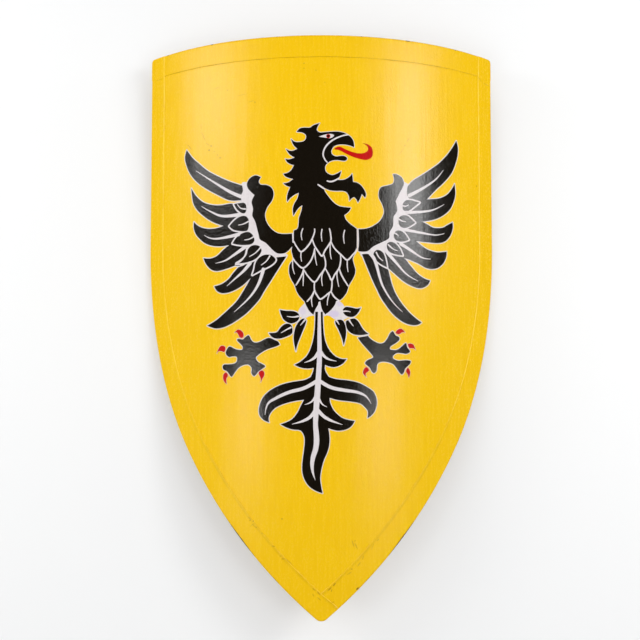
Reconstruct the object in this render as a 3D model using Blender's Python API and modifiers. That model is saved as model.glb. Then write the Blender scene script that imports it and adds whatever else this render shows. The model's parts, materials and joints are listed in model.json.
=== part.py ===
"""A curved wooden heater shield with cloth-bound edges and two leather straps, lying face up on a floor.

The board is drawn flat first: x across it, y along it with y = 0 where the sides start to curve in,
and z out of its front face. Everything is then bent together round an axis parallel to y.
"""
import math

import bmesh
import bpy
from mathutils import Matrix, Vector

# Outline of the flat board, in metres
HALF_WIDTH = 0.2765
UPPER_LENGTH = 0.277  # from where the sides start to curve in up to the straight top
SHOULDER_RADIUS = 0.547
SHOULDER_TURN = math.radians(31.7)
TOE_RADIUS = 0.907
TIP_RADIUS = 0.010
CORNER_RADIUS = 0.007
SHARPEST_RADIUS = 0.001  # the least radius that an outline drawn further in keeps
TIP_STEPS = 4
TOE_STEPS = 13
SHOULDER_STEPS = 9
CORNER_STEPS = 4

# The bend, and how the board lies
BOARD_THICKNESS = 0.008
BEND_RADIUS = 0.353  # of the board's front face
FACETS = 50
FACET_WIDTH = 2 * (HALF_WIDTH + 0.002) / FACETS
RESTING_STEP = 2  # the flat of the shoulder, counted from its upper end, that the shield balances on

# Cloth strips glued over the edges
GAP = 0.0003  # between pieces that touch
CLOTH = 0.001
STRIP_ON_FRONT = 0.030
STRIP_ON_BACK = 0.018

# Leather straps: centre across the board, centre along it, width, half span and depth of the loop
LEATHER = 0.004
STRAP_FOOT = 0.034
STRAP_BEND = 0.009  # radius of the bend where a loop leaves its foot
STRAP_BEND_STEPS = 5
STRAP_LOOP_STEPS = 9  # from a bend to the loop's crown
FOREARM_STRAP = {"across": 0.100, "along": 0.040, "width": 0.045, "half_span": 0.068, "depth": 0.052}
HAND_STRAP = {"across": -0.115, "along": 0.040, "width": 0.032, "half_span": 0.054, "depth": 0.042}

# Round-head screws, two in each foot
SCREW_HEAD_RADIUS = 0.0045
SCREW_HEAD_HEIGHT = 0.0026
SHANK_RADIUS = 0.0018
SHANK_IN_BOARD = 0.005
SCREW_CLEARANCE = 0.0003
SCREW_SPACING = 0.018
SCREW_STEPS = 16
DOME_STEPS = 4

MERGE = 0.00001
CLEAR = 0.01  # how far a cutter reaches past what it cuts
FAR = 1.0  # well outside the shield

PAINT_COLOUR = (0.91, 0.56, 0.012)
PAINT_ROUGHNESS = 0.32
LEATHER_COLOUR = (0.10, 0.045, 0.02)
LEATHER_ROUGHNESS = 0.55
STEEL_COLOUR = (0.55, 0.55, 0.53)
STEEL_ROUGHNESS = 0.35


def clear_scene():
    for thing in list(bpy.data.objects):
        bpy.data.objects.remove(thing, do_unlink=True)


def new_collection(name):
    collection = bpy.data.collections.new(name)
    bpy.context.scene.collection.children.link(collection)
    return collection


def finish(name, colour, roughness, metallic=0.0):
    material = bpy.data.materials.new(name)
    material.use_nodes = True
    shader = material.node_tree.nodes["Principled BSDF"]
    shader.inputs["Base Color"].default_value = (*colour, 1.0)
    shader.inputs["Roughness"].default_value = roughness
    shader.inputs["Metallic"].default_value = metallic
    return material


def arc(centre, radius, start, end, steps):
    """Points round a centre. The angle is measured downwards from +x."""
    points = []
    for step in range(steps + 1):
        angle = start + (end - start) * step / steps
        points.append((centre[0] + radius * math.cos(angle), centre[1] - radius * math.sin(angle)))
    return points


def outline(offset):
    """The board's flat outline, anticlockwise from the tip, drawn outwards by offset."""
    shoulder = Vector((HALF_WIDTH - SHOULDER_RADIUS, 0.0))
    along_turn = Vector((math.cos(SHOULDER_TURN), -math.sin(SHOULDER_TURN)))
    toe = shoulder + along_turn * (SHOULDER_RADIUS - TOE_RADIUS)
    tip_radius = max(TIP_RADIUS + offset, SHARPEST_RADIUS)
    reach = TOE_RADIUS + offset - tip_radius
    tip = Vector((0.0, toe.y - math.sqrt(reach**2 - toe.x**2)))
    toe_turn = math.atan2(toe.y - tip.y, -toe.x)
    corner_radius = max(CORNER_RADIUS + offset, SHARPEST_RADIUS)
    corner = (HALF_WIDTH + offset - corner_radius, UPPER_LENGTH + offset - corner_radius)
    right = arc(tip, tip_radius, math.pi / 2, toe_turn, TIP_STEPS)
    right += arc(toe, TOE_RADIUS + offset, toe_turn, SHOULDER_TURN, TOE_STEPS)[1:]
    right += arc(shoulder, SHOULDER_RADIUS + offset, SHOULDER_TURN, 0.0, SHOULDER_STEPS)[1:]
    right += arc(corner, corner_radius, 0.0, -math.pi / 2, CORNER_STEPS)
    left = [(-x, y) for x, y in reversed(right[1:])]
    return right + left


def slab(name, collection, points, low, high):
    """A flat outline given the thickness from low to high."""
    curve = bpy.data.curves.new(name, "CURVE")
    curve.dimensions = "2D"
    curve.fill_mode = "BOTH"
    curve.extrude = (high - low) / 2
    line = curve.splines.new("POLY")
    line.points.add(len(points) - 1)
    for place, (x, y) in zip(line.points, points):
        place.co = (x, y, 0.0, 1.0)
    line.use_cyclic_u = True
    drawn = bpy.data.objects.new(name, curve)
    collection.objects.link(drawn)
    drawn.location.z = (high + low) / 2
    return as_mesh(drawn, collection)


def box(name, collection, low, high):
    corners = [(low[0], low[1]), (high[0], low[1]), (high[0], high[1]), (low[0], high[1])]
    return slab(name, collection, corners, low[2], high[2])


def as_mesh(thing, collection):
    """Replaces an object by its evaluated mesh, with its place in the mesh and its loose caps welded."""
    bpy.context.view_layer.update()
    ready = thing.evaluated_get(bpy.context.evaluated_depsgraph_get())
    mesh = bpy.data.meshes.new_from_object(ready)
    mesh.transform(thing.matrix_world)
    work = bmesh.new()
    work.from_mesh(mesh)
    bmesh.ops.remove_doubles(work, verts=work.verts, dist=MERGE)
    bmesh.ops.recalc_face_normals(work, faces=work.faces)
    work.to_mesh(mesh)
    work.free()
    name = thing.name
    bpy.data.objects.remove(thing, do_unlink=True)
    made = bpy.data.objects.new(name, mesh)
    collection.objects.link(made)
    return made


def combine(thing, operation, other):
    change = thing.modifiers.new(operation.lower() + " " + other.name, "BOOLEAN")
    change.operation = operation
    change.solver = "EXACT"
    change.object = other


def bent_point(x, y, z):
    """Where a point of the flat shield goes: round the bend axis, with straight facets between bend lines."""
    place = x / FACET_WIDTH + 0.5
    facet = math.floor(place)
    share = place - facet
    first = (facet - 0.5) * FACET_WIDTH / BEND_RADIUS
    last = (facet + 0.5) * FACET_WIDTH / BEND_RADIUS
    sideways = (1 - share) * math.sin(first) + share * math.sin(last)
    upwards = (1 - share) * math.cos(first) + share * math.cos(last)
    return Vector(((BEND_RADIUS + z) * sideways, y, (BEND_RADIUS + z) * upwards))


def bend(thing):
    """Adds an edge at every bend line and bends the mesh over them."""
    work = bmesh.new()
    work.from_mesh(thing.data)
    for line in range(-FACETS // 2, FACETS // 2 + 1):
        everything = list(work.verts) + list(work.edges) + list(work.faces)
        where = ((line + 0.5) * FACET_WIDTH, 0.0, 0.0)
        bmesh.ops.bisect_plane(work, geom=everything, dist=MERGE, plane_co=where, plane_no=(1.0, 0.0, 0.0))
    bmesh.ops.triangulate(work, faces=work.faces)
    for vertex in work.verts:
        vertex.co = bent_point(*vertex.co)
    work.to_mesh(thing.data)
    work.free()


def edge_strip(name, parts, cutters, low, high):
    """A cloth strip folded over the board's edge, kept between two corners of a box."""
    over = GAP + CLOTH
    under = BOARD_THICKNESS + GAP
    strip = slab(name, parts, outline(over), -under - CLOTH, over)
    combine(strip, "DIFFERENCE", slab(name + "_core", cutters, outline(GAP), -under, GAP))
    middle = -BOARD_THICKNESS / 2
    front = slab(name + "_front_window", cutters, outline(-STRIP_ON_FRONT), middle, CLEAR)
    combine(strip, "DIFFERENCE", front)
    back = slab(name + "_back_window", cutters, outline(-STRIP_ON_BACK), -under - CLEAR, middle)
    combine(strip, "DIFFERENCE", back)
    reach = box(name + "_reach", cutters, (*low, -under - CLEAR), (*high, CLEAR))
    combine(strip, "INTERSECT", reach)
    strip = as_mesh(strip, parts)
    bend(strip)
    return strip


def strap_line(half_span, depth, shift):
    """One side of a strap's thickness: foot, bend, loop, bend, foot. shift is outwards from the board."""
    turn = 2 * math.atan2(depth, half_span)
    loop_radius = half_span / math.sin(turn) - STRAP_BEND
    bend_centre = (-half_span, -STRAP_BEND)
    first_bend = arc(bend_centre, STRAP_BEND + shift, -math.pi / 2, turn - math.pi / 2, STRAP_BEND_STEPS)
    loop_centre = (0.0, loop_radius - depth)
    loop = arc(loop_centre, loop_radius - shift, math.pi / 2 + turn, math.pi / 2, STRAP_LOOP_STEPS)
    left = [(-half_span - STRAP_FOOT, shift)] + first_bend + loop
    right = [(-x, z) for x, z in reversed(left[:-1])]
    return left + right


def strap(name, parts, sizes):
    """A leather strap bowed off the board's back along y, with a flat foot at each end."""
    outer = strap_line(sizes["half_span"], sizes["depth"], LEATHER / 2)
    inner = strap_line(sizes["half_span"], sizes["depth"], -LEATHER / 2)
    half = sizes["width"] / 2
    piece = slab(name, parts, outer + inner[::-1], -half, half)
    top = -BOARD_THICKNESS - GAP - LEATHER / 2
    stand_up = Matrix(((0, 0, 1, sizes["across"]), (1, 0, 0, sizes["along"]), (0, 1, 0, top), (0, 0, 0, 1)))
    piece.data.transform(stand_up)
    bend(piece)
    return piece


def foot_places(sizes):
    """The flat places of a strap's screws: side by side where the strap is wide enough, else in line."""
    places = []
    for side in (-1, 1):
        middle = sizes["along"] + side * (sizes["half_span"] + STRAP_FOOT / 2)
        for step in (-0.5, 0.5):
            wide = sizes["width"] > 2 * SCREW_SPACING
            shift = (step * SCREW_SPACING, 0.0) if wide else (0.0, step * SCREW_SPACING)
            places.append((sizes["across"] + shift[0], middle + shift[1]))
    return places


def facing_back(x, y, z):
    """The place of a bent point with local +z turned away from the board's back."""
    spot = bent_point(x, y, z)
    inwards = bent_point(x, y, z - 1.0) - spot
    turned = Vector((0.0, 0.0, 1.0)).rotation_difference(inwards).to_matrix().to_4x4()
    return Matrix.Translation(spot) @ turned


def screw(name, parts, place):
    """A turned round-head screw with its head's flat underside on z = 0."""
    dome = []
    for step in range(DOME_STEPS + 1):
        angle = math.pi / 2 * (1 - step / DOME_STEPS)
        dome.append((SCREW_HEAD_RADIUS * math.cos(angle), SCREW_HEAD_HEIGHT * math.sin(angle)))
    length = LEATHER + 2 * GAP + SHANK_IN_BOARD
    profile = dome + [(SHANK_RADIUS, 0.0), (SHANK_RADIUS, -length), (0.0, -length)]
    mesh = bpy.data.meshes.new(name)
    edges = [(i, i + 1) for i in range(len(profile) - 1)]
    mesh.from_pydata([(x if x > MERGE else 0.0, 0.0, z) for x, z in profile], edges, [])
    piece = bpy.data.objects.new(name, mesh)
    parts.objects.link(piece)
    turn = piece.modifiers.new("turn", "SCREW")
    turn.steps = SCREW_STEPS
    turn.render_steps = SCREW_STEPS
    turn.use_merge_vertices = True
    turn.merge_threshold = MERGE
    piece.matrix_world = place
    return piece


def screw_hole(name, cutters, place):
    """A hole through the strap's foot and part of the way into the board."""
    deep = LEATHER + 2 * GAP + SHANK_IN_BOARD + SCREW_CLEARANCE
    bpy.ops.mesh.primitive_cylinder_add(
        vertices=SCREW_STEPS, radius=SHANK_RADIUS + SCREW_CLEARANCE, depth=deep + CLEAR)
    hole = bpy.context.object
    hole.name = name
    hole.data.transform(Matrix.Translation((0.0, 0.0, (CLEAR - deep) / 2)))
    hole.matrix_world = place
    hole.users_collection[0].objects.unlink(hole)
    cutters.objects.link(hole)
    return hole


def lying_tilt():
    """How far the tip hangs down when the shield lies on the resting flats of its two side edges."""
    angles = [SHOULDER_TURN * (RESTING_STEP - step) / SHOULDER_STEPS for step in (0, 1)]
    ends = []
    for angle in angles:
        reach = SHOULDER_RADIUS + GAP + CLOTH
        x = HALF_WIDTH - SHOULDER_RADIUS + reach * math.cos(angle)
        ends.append(bent_point(x, -reach * math.sin(angle), -BOARD_THICKNESS - GAP - CLOTH))
    return math.atan2(ends[0].z - ends[1].z, ends[1].y - ends[0].y)


def lay_down(stand, pieces):
    """Tilts the shield as it balances, puts its lowest point on z = 0 and centres its box on x = y = 0."""
    stand.rotation_euler.x = lying_tilt()
    bpy.context.view_layer.update()
    layer = bpy.context.evaluated_depsgraph_get()
    points = []
    for piece in pieces:
        ready = piece.evaluated_get(layer)
        points += [ready.matrix_world @ vertex.co for vertex in ready.data.vertices]
    low = Vector([min(point[axis] for point in points) for axis in range(3)])
    high = Vector([max(point[axis] for point in points) for axis in range(3)])
    stand.location = (-(low.x + high.x) / 2, -(low.y + high.y) / 2, -low.z)
    bpy.context.view_layer.update()


def build():
    clear_scene()
    parts = new_collection("heater_shield")
    cutters = new_collection("cutters")
    paint = finish("yellow paint", PAINT_COLOUR, PAINT_ROUGHNESS)
    leather = finish("brown leather", LEATHER_COLOUR, LEATHER_ROUGHNESS)
    steel = finish("zinc-plated steel", STEEL_COLOUR, STEEL_ROUGHNESS, metallic=1.0)

    board = slab("board", parts, outline(0.0), -BOARD_THICKNESS, 0.0)
    bend(board)
    strip_line = UPPER_LENGTH - STRIP_ON_FRONT
    side_top = strip_line - GAP / 2
    top_strip = edge_strip("edge_strip_top", parts, cutters, (-FAR, strip_line + GAP / 2), (FAR, FAR))
    left_strip = edge_strip("edge_strip_left", parts, cutters, (-FAR, -FAR), (-GAP / 2, side_top))
    right_strip = edge_strip("edge_strip_right", parts, cutters, (GAP / 2, -FAR), (FAR, side_top))
    forearm = strap("forearm_strap", parts, FOREARM_STRAP)
    hand = strap("hand_strap", parts, HAND_STRAP)

    screws = []
    under_head = -BOARD_THICKNESS - 2 * GAP - LEATHER
    for held, sizes in ((forearm, FOREARM_STRAP), (hand, HAND_STRAP)):
        for x, y in foot_places(sizes):
            number = len(screws) + 1
            place = facing_back(x, y, under_head)
            screws.append(screw(f"screw_{number}", parts, place))
            hole = screw_hole(f"screw_hole_{number}", cutters, place)
            combine(held, "DIFFERENCE", hole)
            combine(board, "DIFFERENCE", hole)

    for piece in (board, top_strip, left_strip, right_strip):
        piece.data.materials.append(paint)
    for piece in (forearm, hand):
        piece.data.materials.append(leather)
    for piece in screws:
        piece.data.materials.append(steel)
        piece.data.shade_smooth()

    stand = bpy.data.objects.new("lying_shield", None)
    bpy.context.scene.collection.objects.link(stand)
    for cutter in cutters.objects:
        cutter.hide_render = True
        cutter.display_type = "WIRE"
        cutter.parent = stand
    pieces = list(parts.objects)
    for piece in pieces:
        piece.parent = stand
    lay_down(stand, pieces)


build()
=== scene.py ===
# A heater shield lying face up: bent board, cloth-bound edges, a painted eagle, leather straps behind.
import json
import math

import bmesh
import bpy
import numpy as np
from mathutils import Matrix, Vector
from mathutils.geometry import delaunay_2d_cdt


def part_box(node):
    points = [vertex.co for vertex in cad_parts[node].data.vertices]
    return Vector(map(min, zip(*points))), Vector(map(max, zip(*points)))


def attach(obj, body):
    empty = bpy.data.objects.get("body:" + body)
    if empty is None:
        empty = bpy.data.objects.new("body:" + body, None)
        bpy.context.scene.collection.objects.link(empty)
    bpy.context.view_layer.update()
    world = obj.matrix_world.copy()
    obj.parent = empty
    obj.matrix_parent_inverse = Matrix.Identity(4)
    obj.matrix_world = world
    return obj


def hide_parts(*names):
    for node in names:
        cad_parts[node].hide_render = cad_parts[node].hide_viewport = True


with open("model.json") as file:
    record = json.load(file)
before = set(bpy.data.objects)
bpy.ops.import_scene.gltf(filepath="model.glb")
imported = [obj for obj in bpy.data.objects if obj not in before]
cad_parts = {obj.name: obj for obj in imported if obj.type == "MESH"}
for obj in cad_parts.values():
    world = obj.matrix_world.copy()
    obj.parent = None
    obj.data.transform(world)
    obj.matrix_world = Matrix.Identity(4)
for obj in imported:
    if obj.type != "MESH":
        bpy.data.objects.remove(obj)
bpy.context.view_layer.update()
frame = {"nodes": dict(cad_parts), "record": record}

print("frame loaded:", len(frame["nodes"]), "nodes")

# The shield is worked out flat, in millimetres: x across, y up along it with y = 0 where the sides
# start to curve in, z out of the painted face. toPlace bends it and lays it where the frame lies.
board = {
    "halfWidth": 276.5,
    "upperLength": 277.0,
    "shoulderRadius": 547.0,
    "shoulderTurn": 31.7,  # degrees
    "toeRadius": 907.0,
    "tipRadius": 10.0,
    "cornerRadius": 4.5,
    "thickness": 8.0,
    "bendRadius": 353.0,
    "rows": 90,
    "columns": 131,
    "arcStep": 2.0,
    "filletStep": 0.8,
    "smoothTo": 35.0,  # degrees past which an edge stays sharp
}


# Points round a centre at even steps: x = cx + r cos(a), y = cy - r sin(a), so the angle runs downwards.
def arcPoints(centre, radius, start, end, step):
    count = max(2, int(abs(end - start) * radius / step) + 1)
    angle = np.linspace(start, end, count)
    return np.column_stack((centre[0] + radius * np.cos(angle), centre[1] - radius * np.sin(angle)))


# The right half of the outline from the tip to the middle of the top: tip fillet, toe arc, shoulder arc and
# corner. Each arc's centre lies on the line through the joint and its neighbour's centre.
def rightOutline():
    turn = math.radians(board["shoulderTurn"])
    shoulder = np.array((board["halfWidth"] - board["shoulderRadius"], 0.0))
    along = np.array((math.cos(turn), -math.sin(turn)))
    toe = shoulder + along * (board["shoulderRadius"] - board["toeRadius"])
    reach = board["toeRadius"] - board["tipRadius"]
    tip = np.array((0.0, toe[1] - math.sqrt(reach**2 - toe[0] ** 2)))
    toeTurn = math.atan2(toe[1] - tip[1], -toe[0])
    corner = (board["halfWidth"] - board["cornerRadius"], board["upperLength"] - board["cornerRadius"])
    wide, fine = board["arcStep"], board["filletStep"]
    runs = [
        arcPoints(tip, board["tipRadius"], math.pi / 2, toeTurn, fine),
        arcPoints(toe, board["toeRadius"], toeTurn, turn, wide)[1:],
        arcPoints(shoulder, board["shoulderRadius"], turn, 0.0, wide)[1:],
        arcPoints(corner, board["cornerRadius"], 0.0, -math.pi / 2, fine),
        np.array(((0.0, board["upperLength"]),)),
    ]
    return np.concatenate(runs), toe, toeTurn


rightSide, toeCentre, tipTurn = rightOutline()
outline = np.concatenate((rightSide, (rightSide * (-1, 1))[::-1][1:-1]))
tipHeight = rightSide[0, 1]


# How the flat shield lies: the tilt is the angle of the top edge's outward direction, and the shift takes
# the bent board's lowest y and highest z to those of the board's box.
def findPlace():
    mount = next(m for m in frame["record"]["mounts"] if m["name"] == "top_edge")
    tilt = math.atan2(mount["axis"][2], mount["axis"][1])
    low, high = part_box("board")
    shiftY = low.y * 1000 - tipHeight * math.cos(tilt) + board["bendRadius"] * math.sin(tilt)
    shiftZ = high.z * 1000 - board["upperLength"] * math.sin(tilt) - board["bendRadius"] * math.cos(tilt)
    return tilt, shiftY, shiftZ


tilt, shiftY, shiftZ = findPlace()


# Tilts and shifts bent points: y' = y cos(tilt) - z sin(tilt) + shift, z' = y sin(tilt) + z cos(tilt) + shift.
def lay(bent):
    y = bent[:, 1] * math.cos(tilt) - bent[:, 2] * math.sin(tilt) + shiftY
    z = bent[:, 1] * math.sin(tilt) + bent[:, 2] * math.cos(tilt) + shiftZ
    return np.column_stack((bent[:, 0], y, z)) / 1000


# Bends flat points round the axis, at the angle x / R and the radius R + z, and lays them down.
def toPlace(flat):
    radius = board["bendRadius"]
    angle, out = flat[:, 0] / radius, radius + flat[:, 2]
    return lay(np.column_stack((out * np.sin(angle), flat[:, 1], out * np.cos(angle))))


# Quads between the rows and columns of a grid, each row joined round to its start where wrapped.
def gridFaces(rows, columns, wrapped=False):
    across = columns if wrapped else columns - 1
    row, column = np.meshgrid(np.arange(rows - 1), np.arange(across), indexing="ij")
    first = row * columns + column
    second = row * columns + (column + 1) % columns
    return np.stack((first, second, second + columns, first + columns), axis=-1).reshape(-1, 4).tolist()


# Makes a piece of flat points and faces: bent, laid down, doubles merged, normals outwards, riding on the body.
# Its points keep their flat place, and their run along a strip or strap, for the materials to read.
def newPiece(
    name, flat, faces, materials, standsFor=(), run=None, indexes=None, smoothTo=board["smoothTo"]
):
    mesh = bpy.data.meshes.new(name)
    mesh.from_pydata(toPlace(flat).tolist(), [], faces)
    for label, values in (("flat", flat), ("run", run)):
        if values is not None:
            mesh.attributes.new(label, "FLOAT_VECTOR", "POINT").data.foreach_set("vector", values.ravel())
    if indexes is not None:
        mesh.polygons.foreach_set("material_index", indexes)
    for material in materials:
        mesh.materials.append(material)
    work = bmesh.new()
    work.from_mesh(mesh)
    bmesh.ops.remove_doubles(work, verts=work.verts, dist=1e-6)
    bmesh.ops.recalc_face_normals(work, faces=work.faces)
    work.to_mesh(mesh)
    work.free()
    mesh.shade_smooth()
    mesh.set_sharp_from_angle(angle=math.radians(smoothTo))
    piece = bpy.data.objects.new(name, mesh)
    bpy.context.scene.collection.objects.link(piece)
    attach(piece, "root")
    if standsFor:
        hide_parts(*standsFor)
    return piece


# The materials are node trees. Linked sockets and plain values are given alike: this links or sets each input.
def feed(tree, made, inputs):
    for key, value in inputs.items():
        if isinstance(value, bpy.types.NodeSocket):
            tree.links.new(value, made.inputs[key])
        else:
            made.inputs[key].default_value = value


# Adds a shader node with its settings and inputs.
def node(tree, kind, inputs=None, **settings):
    made = tree.nodes.new("ShaderNode" + kind)
    for name, value in settings.items():
        setattr(made, name, value)
    feed(tree, made, inputs or {})
    return made


# One arithmetic step on two values.
def worked(tree, operation, first, second=0.0):
    return node(tree, "Math", {0: first, 1: second}, operation=operation).outputs[0]


# The product of two values.
def times(tree, first, second):
    return worked(tree, "MULTIPLY", first, second)


# The larger of two values.
def most(tree, first, second):
    return worked(tree, "MAXIMUM", first, second)


# Takes a value from one range to another, held at the ends.
def ranged(tree, value, low, high, toLow=0.0, toHigh=1.0):
    inputs = {"Value": value, "From Min": low, "From Max": high, "To Min": toLow, "To Max": toHigh}
    return node(tree, "MapRange", inputs, interpolation_type="SMOOTHSTEP").outputs["Result"]


# Two colours mixed by a share: first (1 - share) + second share.
def blended(tree, share, first, second):
    colours = [each if isinstance(each, bpy.types.NodeSocket) else (*each, 1.0) for each in (first, second)]
    return node(tree, "Mix", {0: share, 6: colours[0], 7: colours[1]}, data_type="RGBA").outputs[2]


# Noise on stretched coordinates: the scale is one over the size of a feature in millimetres.
def noiseOf(tree, place, scale, detail, roughness):
    stretched = node(tree, "Mapping", {"Vector": place, "Scale": scale}).outputs[0]
    inputs = {"Vector": stretched, "Scale": 1.0, "Detail": detail, "Roughness": roughness}
    return node(tree, "TexNoise", inputs).outputs["Fac"]


# Tilts the normal as a height would that is the given distance in metres at 1.
def bumped(tree, height, distance, under=None):
    inputs = {"Height": height, "Distance": distance, "Strength": 1.0}
    if under is not None:
        inputs["Normal"] = under
    return node(tree, "Bump", inputs).outputs["Normal"]


# What a piece's points carry: flat is their place in the flat shield, and run is how far they lie along a strip
# or strap, across or round it, and down its fold or in from its edge.
def attribute(tree, name):
    return node(tree, "Attribute", attribute_name=name).outputs["Vector"]


# The three parts of a vector.
def partsOf(tree, vector):
    return node(tree, "SeparateXYZ", {"Vector": vector}).outputs


# A new material, its node tree and its shader.
def newMaterial(name):
    material = bpy.data.materials.new(name)
    material.use_nodes = True
    tree = material.node_tree
    return material, tree, tree.nodes["Principled BSDF"]


# Small marks in the paint, in the flat shield's millimetres: centre, half axes, the turn in degrees of the first
# axis from x, and how strong. Those on the edge are in millimetres along a strip and down its fold.
marks = {
    "fadeFrom": 0.50,  # share of an ellipse where its spot starts to fade
    "group": 6,  # spots worked out at a time
    "flatten": 1000.0,  # so that the third axis doesn't count
    "dents": (
        (-161.9, 127.8, 2.0, 1.5, 0, 0.95), (-158.5, 133.3, 2.6, 1.2, -10, 0.8), (-153.5, 125.0, 1.7, 0.9, -20, 0.5),
        (-148.0, 119.5, 1.2, 1.5, 0, 0.5), (-143.8, 115.3, 2.4, 1.6, 0, 0.55), (-171.5, 148.0, 12.0, 1.0, -62, 0.45),
        (-164.5, 136.5, 5.0, 0.9, -40, 0.5), (-175.5, 162.0, 7.0, 1.0, -84, 0.3), (-197.0, 137.5, 5.0, 0.8, -42, 0.6),
        (-194.0, 134.0, 4.0, 0.7, -42, 0.5), (121.6, 137.9, 4.0, 1.0, 62, 0.5), (112.0, 122.0, 11.0, 0.9, 55, 0.35),
        (117.0, 130.0, 3.0, 1.2, 50, 0.45), (-23.5, 238.7, 1.7, 1.1, 0, 0.6), (-23.5, 231.8, 1.5, 1.1, 0, 0.5),
        (-7.2, 228.8, 1.3, 1.2, 0, 0.5), (5.0, 212.2, 1.3, 1.0, 0, 0.45), (-91.8, 188.2, 1.3, 1.8, 0, 0.55),
        (-97.0, 190.0, 5.0, 1.0, 12, 0.4), (242.4, 86.1, 1.4, 2.0, 0, 0.7), (-150.0, 214.0, 6.0, 0.9, 12, 0.35),
        (-133.0, 209.0, 1.8, 1.3, 0, 0.5), (-112.0, 200.0, 9.0, 0.8, 8, 0.3), (-52.3, -375.3, 1.7, 1.4, 0, 0.7),
        (-63.8, -411.4, 2.8, 1.0, -8, 0.7), (-96.0, -378.3, 2.0, 0.9, 20, 0.75), (-91.8, -379.6, 1.2, 1.4, 0, 0.8),
        (-97.0, -375.5, 3.0, 1.0, -38, 0.5), (-93.0, -384.5, 5.0, 0.7, 38, 0.5), (-91.0, -385.5, 5.5, 0.7, -40, 0.55),
        (-87.5, -387.3, 1.5, 1.0, 0, 0.75), (-79.5, -395.0, 2.0, 1.2, -30, 0.4), (-50.5, -427.5, 3.2, 1.2, 10, 0.55),
        (-54.0, -424.0, 2.0, 1.0, 35, 0.4), (-43.0, -431.0, 8.0, 0.9, -38, 0.5), (42.1, -407.5, 6.5, 1.1, -72, 0.6),
        (46.2, -410.5, 6.0, 1.0, -66, 0.6), (44.7, -404.0, 2.0, 1.0, 30, 0.45), (55.5, -426.0, 4.0, 1.1, 70, 0.5),
        (50.0, -434.5, 4.5, 1.1, 55, 0.5), (40.2, -440.5, 1.6, 1.2, 0, 0.75), (37.0, -446.0, 5.0, 1.2, 30, 0.4),
        (17.2, -460.2, 3.6, 1.2, 52, 1.0), (11.0, -466.0, 4.5, 1.2, 42, 0.85), (13.5, -468.0, 2.5, 1.0, 70, 0.7),
        (-9.5, -466.5, 3.4, 1.1, -35, 0.6), (-3.5, -471.5, 3.8, 1.1, -48, 0.65), (-10.5, -474.0, 3.0, 1.0, -60, 0.5),
        (-3.0, -478.5, 4.0, 1.0, -40, 0.55), (14.5, -483.5, 3.5, 1.1, 20, 0.4), (68.5, -412.0, 6.0, 0.9, 66, 0.4),
        (76.0, -403.5, 3.0, 1.1, 40, 0.45), (48.5, -465.5, 3.2, 1.5, 35, 0.75), (58.0, -459.5, 1.6, 1.0, 0, 0.5),
        (251.0, 243.5, 6.5, 0.9, -35, 0.5), (266.0, 239.0, 10.0, 0.9, -8, 0.4), (-258.0, 244.5, 11.0, 0.9, 0, 0.35),
    ),
    "chips": (
        (122.1, 276.9, 4.2, 1.5, 0, 1.0), (201.6, 276.6, 2.4, 1.3, 0, 0.9), (-158.1, 276.8, 2.8, 1.2, 0, 0.9),
        (47.5, -466.5, 2.2, 1.0, 38, 0.8), (55.0, 277.0, 1.6, 0.9, 0, 0.7), (-60.0, 277.0, 2.0, 0.8, 0, 0.6),
        (-240.0, 276.8, 2.6, 1.0, 0, 0.7),
    ),
    "edge": (
        (700.0, 1.2, 42.0, 1.5, 0, 1.0), (652.0, 1.6, 16.0, 1.1, 0, 0.7), (770.0, 1.6, 12.0, 1.2, 0, 0.7),
        (500.0, 1.8, 14.0, 0.9, 0, 0.5), (215.0, 1.7, 9.0, 0.9, 0, 0.6),
    ),
    "lilac": (
        (17.0, -103.0, 9.0, 6.0, 0, 0.75), (26.0, -89.0, 6.0, 5.0, 0, 0.6), (-25.0, -99.0, 6.0, 7.0, 0, 0.4),
        (-3.0, -150.0, 3.0, 60.0, 0, 0.3),
    ),
}


# Soft spots, the strongest one winning: each is one inside its ellipse and fades to nothing at the edge. The
# running total rides in the place's unused third axis, so that the renderer works out a few spots at a time.
def spots(tree, place, shapes):
    total = None
    parts = partsOf(tree, place)
    for number, (x, y, a, b, turn, strong) in enumerate(shapes):
        if number % marks["group"] == 0 and total is not None:
            place = node(tree, "CombineXYZ", {"X": parts["X"], "Y": parts["Y"], "Z": total}).outputs[0]
        rotation, scale = (0.0, 0.0, math.radians(turn)), (a, b, marks["flatten"])
        inputs = {"Vector": place, "Location": (x, y, 0.0), "Rotation": rotation, "Scale": scale}
        moved = node(tree, "Mapping", inputs, vector_type="TEXTURE")
        length = node(tree, "VectorMath", {0: moved.outputs[0]}, operation="LENGTH").outputs["Value"]
        spot = ranged(tree, length, marks["fadeFrom"], 1.0, strong, 0.0)
        total = spot if total is None else most(tree, total, spot)
    return total


relief = {
    "ribs": (0.060, 0.0035, 0.0),
    "strokes": (0.30, 0.020, 0.0),
    "broken": (0.50, 0.24, 0.0),
}


# The relief of a coat on the face: broad ribs, brush strokes along the shield and small pits.
def brushRelief(tree, place, coat):
    ribs = noiseOf(tree, place, relief["ribs"], 2.0, 0.5)
    strokes = noiseOf(tree, place, relief["strokes"], 3.0, 0.58)
    broken = noiseOf(tree, place, relief["broken"], 3.0, 0.6)
    normal = bumped(tree, ribs, coat["ribHeight"])
    normal = bumped(tree, strokes, coat["strokeHeight"], normal)
    return bumped(tree, ranged(tree, broken, 0.38, 0.52), coat["pitDepth"], normal), strokes, broken


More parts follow.
